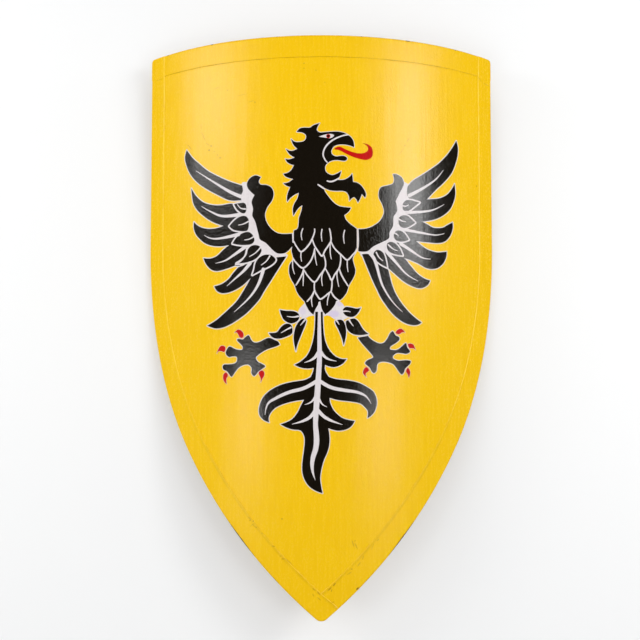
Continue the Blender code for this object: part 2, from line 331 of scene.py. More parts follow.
# Colours, scales and a finish. Heights and depths are in metres, as the bump nodes read them.
paint = {
    "yellow": (0.800, 0.482, 0.0014),
    "thin": (0.785, 0.465, 0.0010),
    "thick": (0.815, 0.499, 0.0020),
    "bare": (0.090, 0.036, 0.010),
    # grime in the dents and specks, also used as painted shade along the seams
    "grimeAndShade": (0.420, 0.218, 0.001),
    # a lighter yellow, painted as the highlight on the side strips' ridge
    "ridgeHighlight": (0.900, 0.640, 0.060),
    "ribHeight": 0.00062,
    "strokeHeight": 0.00011,
    "pitDepth": 0.00005,
    "markDepth": 0.00004,
    "mottle": (0.02, 0.012, 0.0),
    "specks": (0.55, 0.40, 0.0),
    "ragged": (0.7, 0.7, 0.7),
    "roughness": 0.23,
    "shine": 0.30,
}

# Seams of the strips: colour, width in millimetres and strength. The top seam is painted shade along the top strip's
# cut edge, and the side seam is a painted highlight along the side strips' ridge. Down the sides, from the height
# where they start to fade to the height where they stay weak, the painted highlight gives way to a painted shadow
# beside it.
seams = {
    # the top seam is painted shade in the crease at the top strip's cut edge
    "top": (paint["grimeAndShade"], 1.2, 0.50),
    "side": (paint["ridgeHighlight"], 1.9, 0.85),
    "patches": (0.030, 0.0, 0.0),
    "weakBelow": -330.0,
    "fadeFrom": -90.0,
    "weak": 0.22,
    "ridgeShadowFrom": -150.0,
    # strength of the painted shadow beside the ridge
    "ridgeShadow": 0.26,
    "ridgeShadowEdge": (5.0, 2.6),
    "threads": 0.24,
    "threadHeight": 0.000030,
    "foldDarkening": 0.5,
    "chipsFrom": (6.0, 10.0),
}


# Yellow paint: two yellows mixed by the brush strokes, grime in the dents and chips to the brown underneath. On
# cloth there are a weave, a seam line along the cut edge (painted shade on the top cloth; on the side cloth a painted
# highlight along the ridge, with a painted shadow beside it low down), the fold darker further round it, and chips
# on the fold.
def yellowPaint(name, seam=None):
    material, tree, shader = newMaterial(name)
    place = attribute(tree, "flat")
    normal, strokes, broken = brushRelief(tree, place, paint)
    colour = blended(tree, ranged(tree, strokes, 0.36, 0.64), paint["thin"], paint["thick"])
    mottle = ranged(tree, noiseOf(tree, place, paint["mottle"], 4.0, 0.6), 0.30, 0.70, 0.0, 0.55)
    colour = blended(tree, mottle, colour, paint["yellow"])
    specks = ranged(tree, noiseOf(tree, place, paint["specks"], 1.0, 0.5), 0.755, 0.800, 0.0, 0.5)
    dents = spots(tree, place, marks["dents"])
    chips = spots(tree, place, marks["chips"])
    ragged = noiseOf(tree, place, paint["ragged"], 3.0, 0.7)
    if seam:
        shade, wide, strength = seam
        run = attribute(tree, "run")
        along, across, down = partsOf(tree, run)
        height = partsOf(tree, place)["Y"]
        patchy = ranged(tree, noiseOf(tree, run, seams["patches"], 3.0, 0.6), 0.30, 0.60, 0.30, 1.0)
        # Low down on the side cloth, a band of painted shadow beside the ridge.
        ridgeShadow = times(tree, patchy, ranged(tree, height, seams["weakBelow"], seams["ridgeShadowFrom"], seams["ridgeShadow"], 0.0))
        ridgeShadow = times(tree, ridgeShadow, ranged(tree, across, *seams["ridgeShadowEdge"]))
        colour = blended(tree, ridgeShadow, colour, paint["grimeAndShade"])
        patchy = times(tree, patchy, ranged(tree, height, seams["weakBelow"], seams["fadeFrom"], seams["weak"], 1.0))
        # The seam line: painted shade on the top cloth, a painted highlight along the ridge on the side cloth.
        line = times(tree, ranged(tree, across, wide, 0.3 * wide, 0.0, strength), patchy)
        colour = blended(tree, line, colour, shade)
        warp = {"Vector": run, "Scale": seams["threads"], "Distortion": 1.5, "Detail": 1.0, "Detail Scale": 0.2}
        threads = [node(tree, "TexWave", warp, bands_direction=way).outputs["Fac"] for way in "XY"]
        normal = bumped(tree, worked(tree, "ADD", *threads), seams["threadHeight"], normal)
        # The fold darker the further round it goes, in ragged patches.
        foldDark = times(tree, ranged(tree, down, 0.5, 4.0, 0.0, seams["foldDarkening"]), ranged(tree, ragged, 0.35, 0.65))
        dents = most(tree, dents, foldDark)
        fold = node(tree, "CombineXYZ", {"X": along, "Y": down}).outputs[0]
        outside = ranged(tree, across, *seams["chipsFrom"])
        chips = most(tree, chips, times(tree, spots(tree, fold, marks["edge"]), outside))
    colour = blended(tree, most(tree, dents, specks), colour, paint["grimeAndShade"])
    chipped = ranged(tree, times(tree, chips, worked(tree, "ADD", ragged, 0.45)), 0.42, 0.55)
    colour = blended(tree, chipped, colour, paint["bare"])
    pits = worked(tree, "ADD", dents, chipped)
    normal = bumped(tree, times(tree, pits, -1.0), paint["markDepth"], normal)
    rough = ranged(tree, strokes, 0.34, 0.66, paint["roughness"] - 0.03, paint["roughness"] + 0.04)
    rough = worked(tree, "ADD", rough, ranged(tree, broken, 0.35, 0.65, -0.07, 0.07))
    rough = worked(tree, "ADD", rough, times(tree, pits, 0.06))
    finish = {"Base Color": colour, "Roughness": rough, "Normal": normal, "Specular IOR Level": paint["shine"]}
    feed(tree, shader, finish)
    return material


eagleCoat = {
    "black": {
        "colour": (0.0068, 0.0048, 0.0028), "dusty": (0.0085, 0.0063, 0.0040),
        "roughness": 0.12, "tooth": 0.00006, "shine": 0.44,
    },
    "white": {
        "colour": (0.655, 0.610, 0.615), "dusty": (0.575, 0.525, 0.535), "tint": (0.545, 0.470, 0.640),
        "roughness": 0.30, "tooth": 0.00008, "shine": 0.30,
    },
    "red": {
        "colour": (0.470, 0.0010, 0.0008), "dusty": (0.370, 0.0010, 0.0008),
        "roughness": 0.32, "tooth": 0.00008, "shine": 0.12,
    },
    "ribHeight": 0.00040,
    "strokeHeight": 0.00004,
    "pitDepth": 0.0,
    "canvas": (0.34, 0.30, 0.0),
    "dullBy": 0.05,  # how much rougher the low places of the canvas are
}


# Eagle paint: one colour, a little streaked and dusty, over the same relief with a canvas-like tooth.
def eaglePaint(shade):
    material, tree, shader = newMaterial(shade + " paint")
    place = attribute(tree, "flat")
    coat = eagleCoat[shade]
    normal, strokes, _ = brushRelief(tree, place, eagleCoat)
    canvas = noiseOf(tree, place, eagleCoat["canvas"], 2.0, 0.6)
    normal = bumped(tree, ranged(tree, canvas, 0.40, 0.58), coat["tooth"], normal)
    dust = times(tree, ranged(tree, strokes, 0.40, 0.68), ranged(tree, canvas, 0.40, 0.66))
    colour = blended(tree, dust, coat["colour"], coat["dusty"])
    if "tint" in coat:
        colour = blended(tree, spots(tree, place, marks["lilac"]), colour, coat["tint"])
    rough = ranged(tree, canvas, 0.40, 0.58, coat["roughness"] + eagleCoat["dullBy"], coat["roughness"])
    finish = {"Base Color": colour, "Roughness": rough, "Normal": normal, "Specular IOR Level": coat["shine"]}
    feed(tree, shader, finish)
    return material


wood = {
    "pale": (0.55, 0.36, 0.19),
    "dark": (0.40, 0.235, 0.108),
    "line": (0.20, 0.10, 0.040),
    "swirl": (0.006, 0.002, 0.0),
    "swirlBy": 90.0,  # millimetres that the grain wavers
    "rings": (0.085, 0.0022, 0.0),
    "fibres": (1.6, 0.022, 0.0),
    "pores": (2.6, 0.12, 0.0),
    "fibreHeight": 0.00006,
    "poreDepth": 0.00005,
    "roughness": 0.56,
}


# Bare plywood: long wavering grain from noise stretched along the shield, with fine fibres and dark pores.
def bareWood(name):
    material, tree, shader = newMaterial(name)
    place = attribute(tree, "flat")
    swirl = noiseOf(tree, place, wood["swirl"], 2.0, 0.5)
    level = node(tree, "VectorMath", {0: place, 1: (1.0, 1.0, 0.0)}, operation="MULTIPLY").outputs[0]
    push = node(tree, "CombineXYZ", {"X": times(tree, swirl, wood["swirlBy"])}).outputs[0]
    wavering = node(tree, "VectorMath", {0: level, 1: push}, operation="ADD").outputs[0]
    rings = noiseOf(tree, wavering, wood["rings"], 4.0, 0.6)
    fibres = noiseOf(tree, place, wood["fibres"], 3.0, 0.6)
    pores = noiseOf(tree, place, wood["pores"], 1.0, 0.5)
    colour = blended(tree, ranged(tree, rings, 0.30, 0.74), wood["pale"], wood["dark"])
    colour = blended(tree, ranged(tree, fibres, 0.45, 0.75, 0.0, 0.35), colour, wood["dark"])
    colour = blended(tree, ranged(tree, pores, 0.62, 0.72, 0.0, 0.6), colour, wood["line"])
    normal = bumped(tree, fibres, wood["fibreHeight"])
    normal = bumped(tree, pores, wood["poreDepth"], normal)
    rough = ranged(tree, rings, 0.3, 0.7, wood["roughness"] + 0.06, wood["roughness"] - 0.06)
    feed(tree, shader, {"Base Color": colour, "Roughness": rough, "Normal": normal})
    return material


hide = {
    "brown": (0.105, 0.044, 0.018),
    "worn": (0.205, 0.098, 0.042),
    "edge": (0.030, 0.013, 0.007),
    "cells": 0.95,
    "wrinkle": (0.22, 0.06, 0.0),
    "cloud": (0.05, 0.05, 0.0),
    "wrinkleHeight": 0.00035,
    "grainHeight": 0.00006,
    "creaseIn": 3.6,
    "roughness": 0.5,
}


# Leather: a pebbled grain from cells, wrinkles from stretched noise, and the edges and the pressed line beside them
# dark and burnished. The run is the distance along the strap, round its section and in from its edge.
def strapLeather(name):
    material, tree, shader = newMaterial(name)
    run = attribute(tree, "run")
    level = node(tree, "Mapping", {"Vector": run, "Scale": (1.0, 1.0, 0.0)}).outputs[0]
    cells = node(tree, "TexVoronoi", {"Vector": level, "Scale": hide["cells"]}, feature="DISTANCE_TO_EDGE")
    grain = ranged(tree, cells.outputs["Distance"], 0.0, 0.22)
    wrinkle = noiseOf(tree, run, hide["wrinkle"], 4.0, 0.65)
    cloud = noiseOf(tree, run, hide["cloud"], 4.0, 0.6)
    colour = blended(tree, ranged(tree, cloud, 0.35, 0.7), hide["brown"], hide["worn"])
    colour = blended(tree, times(tree, worked(tree, "SUBTRACT", 1.0, grain), 0.45), colour, hide["edge"])
    inwards = partsOf(tree, run)["Z"]
    crease = worked(tree, "ABSOLUTE", worked(tree, "SUBTRACT", inwards, hide["creaseIn"]))
    dark = most(tree, ranged(tree, inwards, 2.4, 0.1), ranged(tree, crease, 1.0, 0.2, 0.0, 0.7))
    colour = blended(tree, dark, colour, hide["edge"])
    normal = bumped(tree, wrinkle, hide["wrinkleHeight"])
    normal = bumped(tree, grain, hide["grainHeight"], normal)
    rough = ranged(tree, wrinkle, 0.3, 0.7, hide["roughness"] - 0.1, hide["roughness"] + 0.1)
    feed(tree, shader, {"Base Color": colour, "Roughness": rough, "Normal": normal})
    return material


plating = {
    "bright": (0.60, 0.58, 0.53),
    "dulled": (0.36, 0.33, 0.29),
    "patches": (0.5, 0.5, 0.5),
    "scratches": (6.0, 0.6, 0.6),
    "scratchDepth": 0.00002,
}


# Plated steel: fine scratches and dulled patches.
def platedSteel(name):
    material, tree, shader = newMaterial(name)
    place = attribute(tree, "flat")
    patches = noiseOf(tree, place, plating["patches"], 4.0, 0.6)
    scratches = noiseOf(tree, place, plating["scratches"], 2.0, 0.6)
    colour = blended(tree, ranged(tree, patches, 0.35, 0.7), plating["bright"], plating["dulled"])
    rough = ranged(tree, patches, 0.3, 0.7, 0.24, 0.46)
    normal = bumped(tree, scratches, plating["scratchDepth"])
    feed(tree, shader, {"Base Color": colour, "Roughness": rough, "Normal": normal, "Metallic": 1.0})
    return material


boardPaint = yellowPaint("yellow paint")
topCloth = yellowPaint("yellow paint on the top cloth", seams["top"])
sideCloth = yellowPaint("yellow paint on the side cloth", seams["side"])
backWood = bareWood("bare plywood")
leather = strapLeather("brown strap leather")
steel = platedSteel("plated steel")
black, white, red = (eaglePaint(shade) for shade in ("black", "white", "red"))
print("materials made")


# The board: at each height y the half width is read off the outline, and x = share * half width.
# A row runs over the front from left to right and back along the rear.
def boardPiece():
    turn = np.linspace(0.0, math.pi, board["rows"])
    y = tipHeight + (board["upperLength"] - tipHeight) * (1 - np.cos(turn)) / 2
    order = np.argsort(rightSide[:-1, 1], kind="stable")
    reach = np.interp(y, rightSide[:-1][order, 1], rightSide[:-1][order, 0])
    share = np.linspace(-1.0, 1.0, board["columns"])
    share = np.concatenate((share, share[::-1]))
    depth = np.repeat((0.0, -board["thickness"]), board["columns"])
    flat = np.stack(np.broadcast_arrays(reach[:, None] * share, y[:, None], depth), axis=-1).reshape(-1, 3)
    faces = gridFaces(board["rows"], 2 * board["columns"], wrapped=True)
    last = (board["rows"] - 1) * 2 * board["columns"]
    column = np.arange(board["columns"] - 1)
    under = 2 * board["columns"] - 1 - column
    for start in (0, last):
        faces += np.column_stack((start + column, start + column + 1, start + under - 1, start + under)).tolist()
    middle = flat[np.array([face[:4] for face in faces])].mean(axis=1)
    rear = (middle[:, 2] < -board["thickness"] * 0.6).astype(np.int32)
    return newPiece("board_face", flat, faces, (boardPaint, backWood), ("board",), indexes=rear)


boardPiece()
print("board made")

# Cloth strips folded over the edge: a front lap, a turned edge and a back lap, all one profile carried along.
strips = {
    "onFront": 30.0,
    "onBack": 18.0,
    "topHeight": 0.75,  # how far a strip stands off the board
    "sideHeight": 0.80,
    "overlap": 0.42,  # how much one strip rises over another
    "rise": (-0.4, 1.2),  # where it rises, from the lower strip's cut edge
    "atTip": (300.0, 400.0),  # how far down the left strip starts to rise too
    "ramp": 1.3,  # width of the painted-over cut edge
    "fold": 2.6,  # outer radius where it turns round the board
    "wander": 0.35,  # how much the cut edge strays
    "strayWidth": 8.0,
    "fullReach": 20.0,  # it strays less where the lap is narrower
    "lump": 0.05,  # how much the lap swells and sinks
    "sunk": 0.1,  # how far the hidden sides lie inside the board
    "lap": (0.04, 0.96, 14),
    "nearTop": (0.4, 1.0, 2.0, 3.5, 5.0, 7.0, 29.0, 30.0, 31.0),  # extra stations, from the top edge
    "nearSide": (0.5, 1.2, 2.2, 3.5, 5.0, 7.0),
    "tipZone": 0.06,  # radians of the toe arc with close stations before the tip
    "pastTip": 0.055,
    "leastReach": 1.2,
    "seeds": {"top": 3, "right": 5, "left": 9},
}


# How far each ray from a point runs before it leaves the outline: the least positive crossing with its segments.
def rayReach(starts, directions):
    a, b = outline, np.roll(outline, -1, axis=0)
    span = b - a
    cross = directions[:, None, 0] * span[None, :, 1] - directions[:, None, 1] * span[None, :, 0]
    toStart = a[None] - starts[:, None]
    cross = np.where(np.abs(cross) < 1e-9, 1e-9, cross)
    far = (toStart[..., 0] * span[None, :, 1] - toStart[..., 1] * span[None, :, 0]) / cross
    share = (toStart[..., 0] * directions[:, None, 1] - toStart[..., 1] * directions[:, None, 0]) / cross
    far = np.where((share >= 0) & (share <= 1) & (far > 1e-6), far, np.inf)
    return far.min(axis=1)


# A slow wave of mixed lengths, between about -1 and 1, for hand-cut edges.
def wander(distance, seed):
    lengths = np.array((7.0, 13.0, 29.0, 61.0))
    phase = np.random.default_rng(seed).uniform(0, 2 * math.pi, 4)
    return (np.sin(2 * math.pi * distance[:, None] / lengths + phase) * (0.18, 0.25, 0.35, 0.4)).sum(axis=1)


# Smoothly from 0 to 1 as the value goes from low to high.
def eased(value, low, high):
    share = np.clip((value - low) / (high - low), 0.0, 1.0)
    return share * share * (3 - 2 * share)


# A strip: at each station of its inner line the profile runs outwards along the ray to the outline. The cut
# edge is a quarter ellipse, the lap is level, the fold is two quarter circles and the back lap mirrors the front.
def edgeStrip(side, inner, outward, height, rise, cloth):
    seed = strips["seeds"][side]
    steps = np.linalg.norm(np.diff(inner, axis=0), axis=1)
    distance = np.concatenate(((0.0,), np.cumsum(steps)))
    reach = rayReach(inner, outward)[:, None]
    thick, sunk = board["thickness"], strips["sunk"]
    ramp = np.minimum(strips["ramp"], reach * 0.3)
    fold = np.minimum(strips["fold"], reach * 0.45)
    edge, bottom = reach + height, -thick - height
    quarter = np.linspace(0.0, math.pi / 2, 6)
    lap = np.linspace(*strips["lap"])
    zero = np.zeros_like(reach)
    d = np.concatenate((
        zero, ramp * (1 - np.cos(quarter)), ramp + (edge - fold - ramp) * lap,
        edge - fold + fold * np.sin(quarter), edge - fold + fold * np.cos(quarter),
        edge - fold + (reach - strips["onBack"] + ramp - edge + fold) * lap,
        reach - strips["onBack"] + ramp * (1 - np.cos(quarter[::-1])),
        reach - strips["onBack"], reach - 2 * sunk, reach - 2 * sunk), axis=1)
    z = np.concatenate((
        zero - sunk, height * np.sin(quarter) + zero, height + 0 * lap + zero,
        height - fold + fold * np.cos(quarter), bottom + fold - fold * np.sin(quarter),
        bottom + 0 * lap + zero, -thick - height * np.sin(quarter[::-1]) + zero,
        zero - thick + sunk, zero - thick + sunk, zero - sunk), axis=1)
    stray = (strips["wander"] * wander(distance, seed))[:, None]
    stray = stray * np.clip(1 - d / strips["strayWidth"], 0.0, 1.0) * (z > -1)
    d = d + stray * np.minimum(1.0, reach / strips["fullReach"])
    place = inner[:, None] + d[..., None] * outward[:, None]
    lump = wander(distance, seed + 1)[:, None] * strips["lump"] * np.sin(d / strips["onFront"] * math.pi)
    onFace = eased(z, -1.0, height * 0.6)
    z = z + onFace * (lump + rise(place[..., 0], place[..., 1]))
    flat = np.concatenate((place, z[..., None]), axis=-1)
    rows, columns = d.shape
    faces = gridFaces(rows, columns, wrapped=True)
    faces += [list(range(columns)), list(range((rows - 1) * columns, rows * columns))]
    run = np.stack(np.broadcast_arrays(distance[:, None], d, height - z), axis=-1).reshape(-1, 3)
    name, standsFor = "edge_cloth_" + side, ("edge_strip_" + side,)
    return newPiece(name, flat.reshape(-1, 3), faces, (cloth,), standsFor, run)


# The top strip lies under the others, and doesn't rise.
def noRise(x, y):
    return 0.0 * x


# How much a side strip rises where it crosses the top strip.
def overTop(x, y):
    line = board["upperLength"] - strips["onFront"]
    return strips["overlap"] * eased(y, *(line + offset for offset in strips["rise"]))


# The left strip also rises over the right strip at the tip: inside the right strip's inner arc.
def overTopAndTip(x, y):
    away = np.hypot(x - toeCentre[0], y - toeCentre[1])
    inside = board["toeRadius"] - strips["onFront"]
    low = eased(-y, *strips["atTip"])
    return overTop(x, y) + strips["overlap"] * low * eased(away, *(inside + offset for offset in strips["rise"]))


# Stations of a right side strip's inner line and its outward directions: down the straight side, round the
# shoulder and toe arcs, and on past the middle of the tip until it nearly meets the other side.
def sideStations():
    turn = math.radians(board["shoulderTurn"])
    top = np.linspace(board["upperLength"] - 0.05, 0.0, 90)
    top = np.sort(np.append(top, board["upperLength"] - np.array(strips["nearTop"])))[::-1]
    straight = np.column_stack((np.full(len(top), board["halfWidth"] - strips["onFront"]), top))
    shoulder = np.linspace(0.0, turn, 70)[1:]
    near, end = tipTurn - strips["tipZone"], tipTurn + strips["pastTip"]
    toe = np.concatenate((np.linspace(turn, near, 120)[1:], np.linspace(near, end, 90)[1:]))
    inner = [straight]
    outward = [np.tile((1.0, 0.0), (len(top), 1))]
    shoulderCentre = np.array((board["halfWidth"] - board["shoulderRadius"], 0.0))
    arcs = ((shoulderCentre, board["shoulderRadius"], shoulder), (toeCentre, board["toeRadius"], toe))
    for centre, radius, angles in arcs:
        direction = np.column_stack((np.cos(angles), -np.sin(angles)))
        inner.append(centre + direction * (radius - strips["onFront"]))
        outward.append(direction)
    inner, outward = np.concatenate(inner), np.concatenate(outward)
    reach = rayReach(inner, outward)
    keep = (reach < strips["onFront"] + 0.5) & (reach > strips["leastReach"])
    return inner[keep], outward[keep]


# The three strips: the left one is the right one mirrored, apart from its rise and its seed.
def stripPieces():
    half, near = board["halfWidth"], np.array(strips["nearSide"])
    x = np.sort(np.concatenate((np.linspace(-half + 0.1, half - 0.1, 160), -half + near, half - near)))
    inner = np.column_stack((x, np.full(len(x), board["upperLength"] - strips["onFront"])))
    edgeStrip("top", inner, np.tile((0.0, 1.0), (len(x), 1)), strips["topHeight"], noRise, topCloth)
    inner, outward = sideStations()
    edgeStrip("right", inner, outward, strips["sideHeight"], overTop, sideCloth)
    edgeStrip("left", inner * (-1, 1), outward * (-1, 1), strips["sideHeight"], overTopAndTip, sideCloth)


stripPieces()
print("edge cloth made")


# Leather straps on the back. Each has a flat foot, a small bend, a round loop and the same again mirrored.
straps = {
    "thickness": 4.0,
    "offBoard": 0.3,
    "foot": 34.0,
    "bend": 9.0,  # radius where the loop leaves the foot
    "endRound": 9.0,
    "edgeRound": 1.3,
    "creaseIn": 3.6,  # pressed line along the edges
    "creaseHalf": 0.8,
    "creaseDeep": 0.4,
    "pressWide": 8.8,  # hollow that a screw pulls into the leather
    "pressDeep": 0.45,
    "screwGap": 18.0,
    "wander": 0.25,
    "smoothTo": 60.0,
    "forearm": {"across": 100.0, "along": 40.0, "width": 45.0, "halfSpan": 68.0, "depth": 52.0, "seed": 31},
    "hand": {"across": -115.0, "along": 40.0, "width": 32.0, "halfSpan": 54.0, "depth": 42.0, "seed": 37},
}


# A strap's middle line. In the bend it is (-h + b sin a, -b + b cos a) and in the loop (-r sin a, r - d - r cos a),
# with tan(turn / 2) = d / h and r = h / sin(turn) - b; the side next to the board faces (sin a, cos a).
def strapLine(sizes):
    half, depth, bend = sizes["halfSpan"], sizes["depth"], straps["bend"]
    turn = 2 * math.atan2(depth, half)
    loop = half / math.sin(turn) - bend
    rounded = straps["edgeRound"] * (1 - np.cos(np.linspace(0.0, math.pi / 2, 6)))
    foot = np.concatenate((rounded, np.linspace(straps["edgeRound"], straps["foot"], 70)[1:]))
    inBend, inLoop = np.linspace(0.0, turn, 26)[1:], np.linspace(turn, 0.0, 56)[1:]
    place = np.concatenate((foot - straps["foot"] - half, bend * np.sin(inBend) - half, -loop * np.sin(inLoop)))
    out = np.concatenate((0.0 * foot, bend * (np.cos(inBend) - 1), loop * (1 - np.cos(inLoop)) - depth))
    lean = np.concatenate((0.0 * foot, inBend, inLoop))
    mirrored = ((place, -1), (out, 1), (lean, -1))
    return [np.concatenate((values, sign * values[-2::-1])) for values, sign in mirrored]


# Where a strap's screws go: side by side where it is wide enough, else in line.
def screwPlaces(sizes):
    gap = straps["screwGap"]
    step = np.array((gap / 2, 0.0) if sizes["width"] > 2 * gap else (0.0, gap / 2))
    foot = np.array((0.0, sizes["halfSpan"] + straps["foot"] / 2))
    middle = np.array((sizes["across"], sizes["along"]))
    return np.array([middle + side * foot + way * step for side in (-1, 1) for way in (-1, 1)])


# One hump of height 1, (1 + cos(pi t)) / 2 between t = -1 and 1.
def hump(t):
    return (1 + np.cos(math.pi * np.clip(t, -1.0, 1.0))) / 2


# A strap: at each station a rounded section of points (u, v), u across it and v towards the board. At the ends
# the half width is w - r + sqrt(r2 - (r - s)2) at the distance s; creases and screws press in as humps.
def strapPiece(name):
    sizes = straps[name]
    place, out, lean = (values[:, None] for values in strapLine(sizes))
    distance = np.concatenate(((0.0,), np.cumsum(np.hypot(np.diff(place[:, 0]), np.diff(out[:, 0])))))
    fromEnd = np.minimum(distance, distance[-1] - distance)[:, None]
    half, thick = sizes["width"] / 2, straps["thickness"] / 2
    edge, corner = straps["edgeRound"], straps["endRound"]
    inner, line, wide = half - edge, half - straps["creaseIn"], straps["creaseHalf"]
    groove = line + wide * np.linspace(-1.0, 1.0, 9)
    side = np.concatenate((groove, np.linspace(line + wide, inner, 5)[1:]))
    across = np.concatenate((-side[::-1], np.linspace(-line + wide, line - wide, 19)[1:-1], side))
    quarter = np.linspace(0.0, math.pi / 2, 5)
    u = np.concatenate((
        across, inner + edge * np.sin(quarter[1:]), inner + edge * np.cos(quarter), across[-2:0:-1],
        -inner - edge * np.sin(quarter), -inner - edge * np.cos(quarter[:-1])))
    v = np.concatenate((
        0 * across - thick, edge - thick - edge * np.cos(quarter[1:]), thick - edge + edge * np.sin(quarter),
        0 * across[1:-1] + thick, thick - edge + edge * np.cos(quarter), edge - thick - edge * np.sin(quarter[:-1])))
    around = np.cumsum(np.hypot(np.diff(u, append=u[:1]), np.diff(v, append=v[:1])))
    narrow = half - corner + np.sqrt(corner**2 - np.clip(corner - fromEnd, 0.0, corner) ** 2)
    narrow = narrow + straps["wander"] * wander(distance, sizes["seed"])[:, None]
    thin = (thick - edge + np.sqrt(edge**2 - np.clip(edge - fromEnd, 0.0, edge) ** 2)) / thick
    u, v = u * narrow / half, v * thin
    a, b = np.clip(corner - fromEnd, 0.0, None), np.clip(np.abs(u) - half + corner, 0.0, None)
    toEdge = np.where((a > 0) & (b > 0), corner - np.hypot(a, b), np.minimum(fromEnd, half - np.abs(u)))
    outside = v < 0.4 * edge - thick
    press = straps["creaseDeep"] * hump((toEdge - straps["creaseIn"]) / wide)
    for x, y in screwPlaces(sizes):
        away = np.hypot(u + sizes["across"] - x, place + sizes["along"] - y)
        press = np.maximum(press, straps["pressDeep"] * hump(away / straps["pressWide"]))
    v = v + outside * press
    z = out + v * np.cos(lean) - board["thickness"] - straps["offBoard"] - thick
    flat = np.stack((sizes["across"] + u, sizes["along"] + place + v * np.sin(lean), z), axis=-1)
    rows, columns = u.shape
    faces = gridFaces(rows, columns, wrapped=True)
    faces += [list(range(columns)), list(range((rows - 1) * columns, rows * columns))]
    run = np.stack(np.broadcast_arrays(distance[:, None], around, np.maximum(toEdge, 0.0)), axis=-1).reshape(-1, 3)
    standsFor, name = (name + "_strap",), name + "_strap_leather"
    flat = flat.reshape(-1, 3)
    return newPiece(name, flat, faces, (leather,), standsFor, run, smoothTo=straps["smoothTo"])


screws = {"radius": 4.5, "height": 2.6, "sunk": 0.7, "slotHalf": 0.55, "slotDeep": 1.3, "seed": 21}


# A round screw head: lines p = share * sqrt(r2 - q2) at each q, doubled at the slot's sides, stand at the height
# h sqrt(1 - (p2 + q2) / r2), held down in the slot, over a flat underside. It is turned and set facing backwards.
def screwPiece(number, spot, turn):
    radius, height, slot = screws["radius"], screws["height"], screws["slotHalf"]
    side = radius * np.sin(np.linspace(math.asin(slot / radius), math.pi / 2, 12))
    q = np.concatenate((-side[::-1], (-slot, 0.0, slot), side))[:, None]
    inSlot = np.abs(np.arange(len(q)) - len(q) // 2)[:, None] < 2
    p = np.sin(np.linspace(-math.pi / 2, math.pi / 2, 25)) * np.sqrt(np.clip(radius**2 - q**2, 0.0, None))
    up = height * np.sqrt(np.clip(1 - (p**2 + q**2) / radius**2, 0.0, None))
    up = np.where(inSlot, np.minimum(up, height - screws["slotDeep"]), up)
    up = np.concatenate((up, 0 * p - screws["sunk"]), axis=1)
    p = np.concatenate((p, p[:, ::-1]), axis=1)
    base = -board["thickness"] - 2 * straps["offBoard"] - straps["thickness"]
    stretch = board["bendRadius"] / (board["bendRadius"] + base)
    x = spot[0] + (p * math.cos(turn) - q * math.sin(turn)) * stretch
    y = spot[1] + p * math.sin(turn) + q * math.cos(turn)
    flat = np.stack((x, y, base - up), axis=-1).reshape(-1, 3)
    name, standsFor = f"screw_head_{number}", (f"screw_{number}",)
    return newPiece(name, flat, gridFaces(*p.shape, wrapped=True), (steel,), standsFor)


# Both straps, and their screws with the slots turned anyhow.
def strapPieces():
    turns = np.random.default_rng(screws["seed"]).uniform(0.0, math.pi, 8)
    number = 0
    for name in ("forearm", "hand"):
        strapPiece(name)
        for spot in screwPlaces(straps[name]):
            number += 1
            screwPiece(number, spot, turns[number - 1])


strapPieces()
print("straps and screws made")


# The eagle: thin coats of paint with edges drawn as smooth loops. Points are flat millimetres, and a third
# value of 1 makes a corner. A stroke is its widths, spread evenly along it, and the points it runs through.
eagle = {
    "featherLine": 1.3,  # white left showing round the black
    "armLine": 0.9,
    "bodyLine": 0.85,
    "leafLine": 1.2,
    "footLine": 1.0,
    "tailLine": 1.1,
    "clawLine": 0.4,
    "covertLine": 2.1,
    "whiteTop": 0.10,
    "blackTop": 0.17,
    "redTop": 0.24,
    "under": -0.05,  # how far each coat sinks into the board
    "step": 1.5,
    "eyeStep": 0.8,
    "clawStep": 1.0,
    "circle": 20,  # points round the iris and the pupil
    "arcTurn": 20.0,  # most degrees between points round a grown corner
    "grid": 6.0,
}

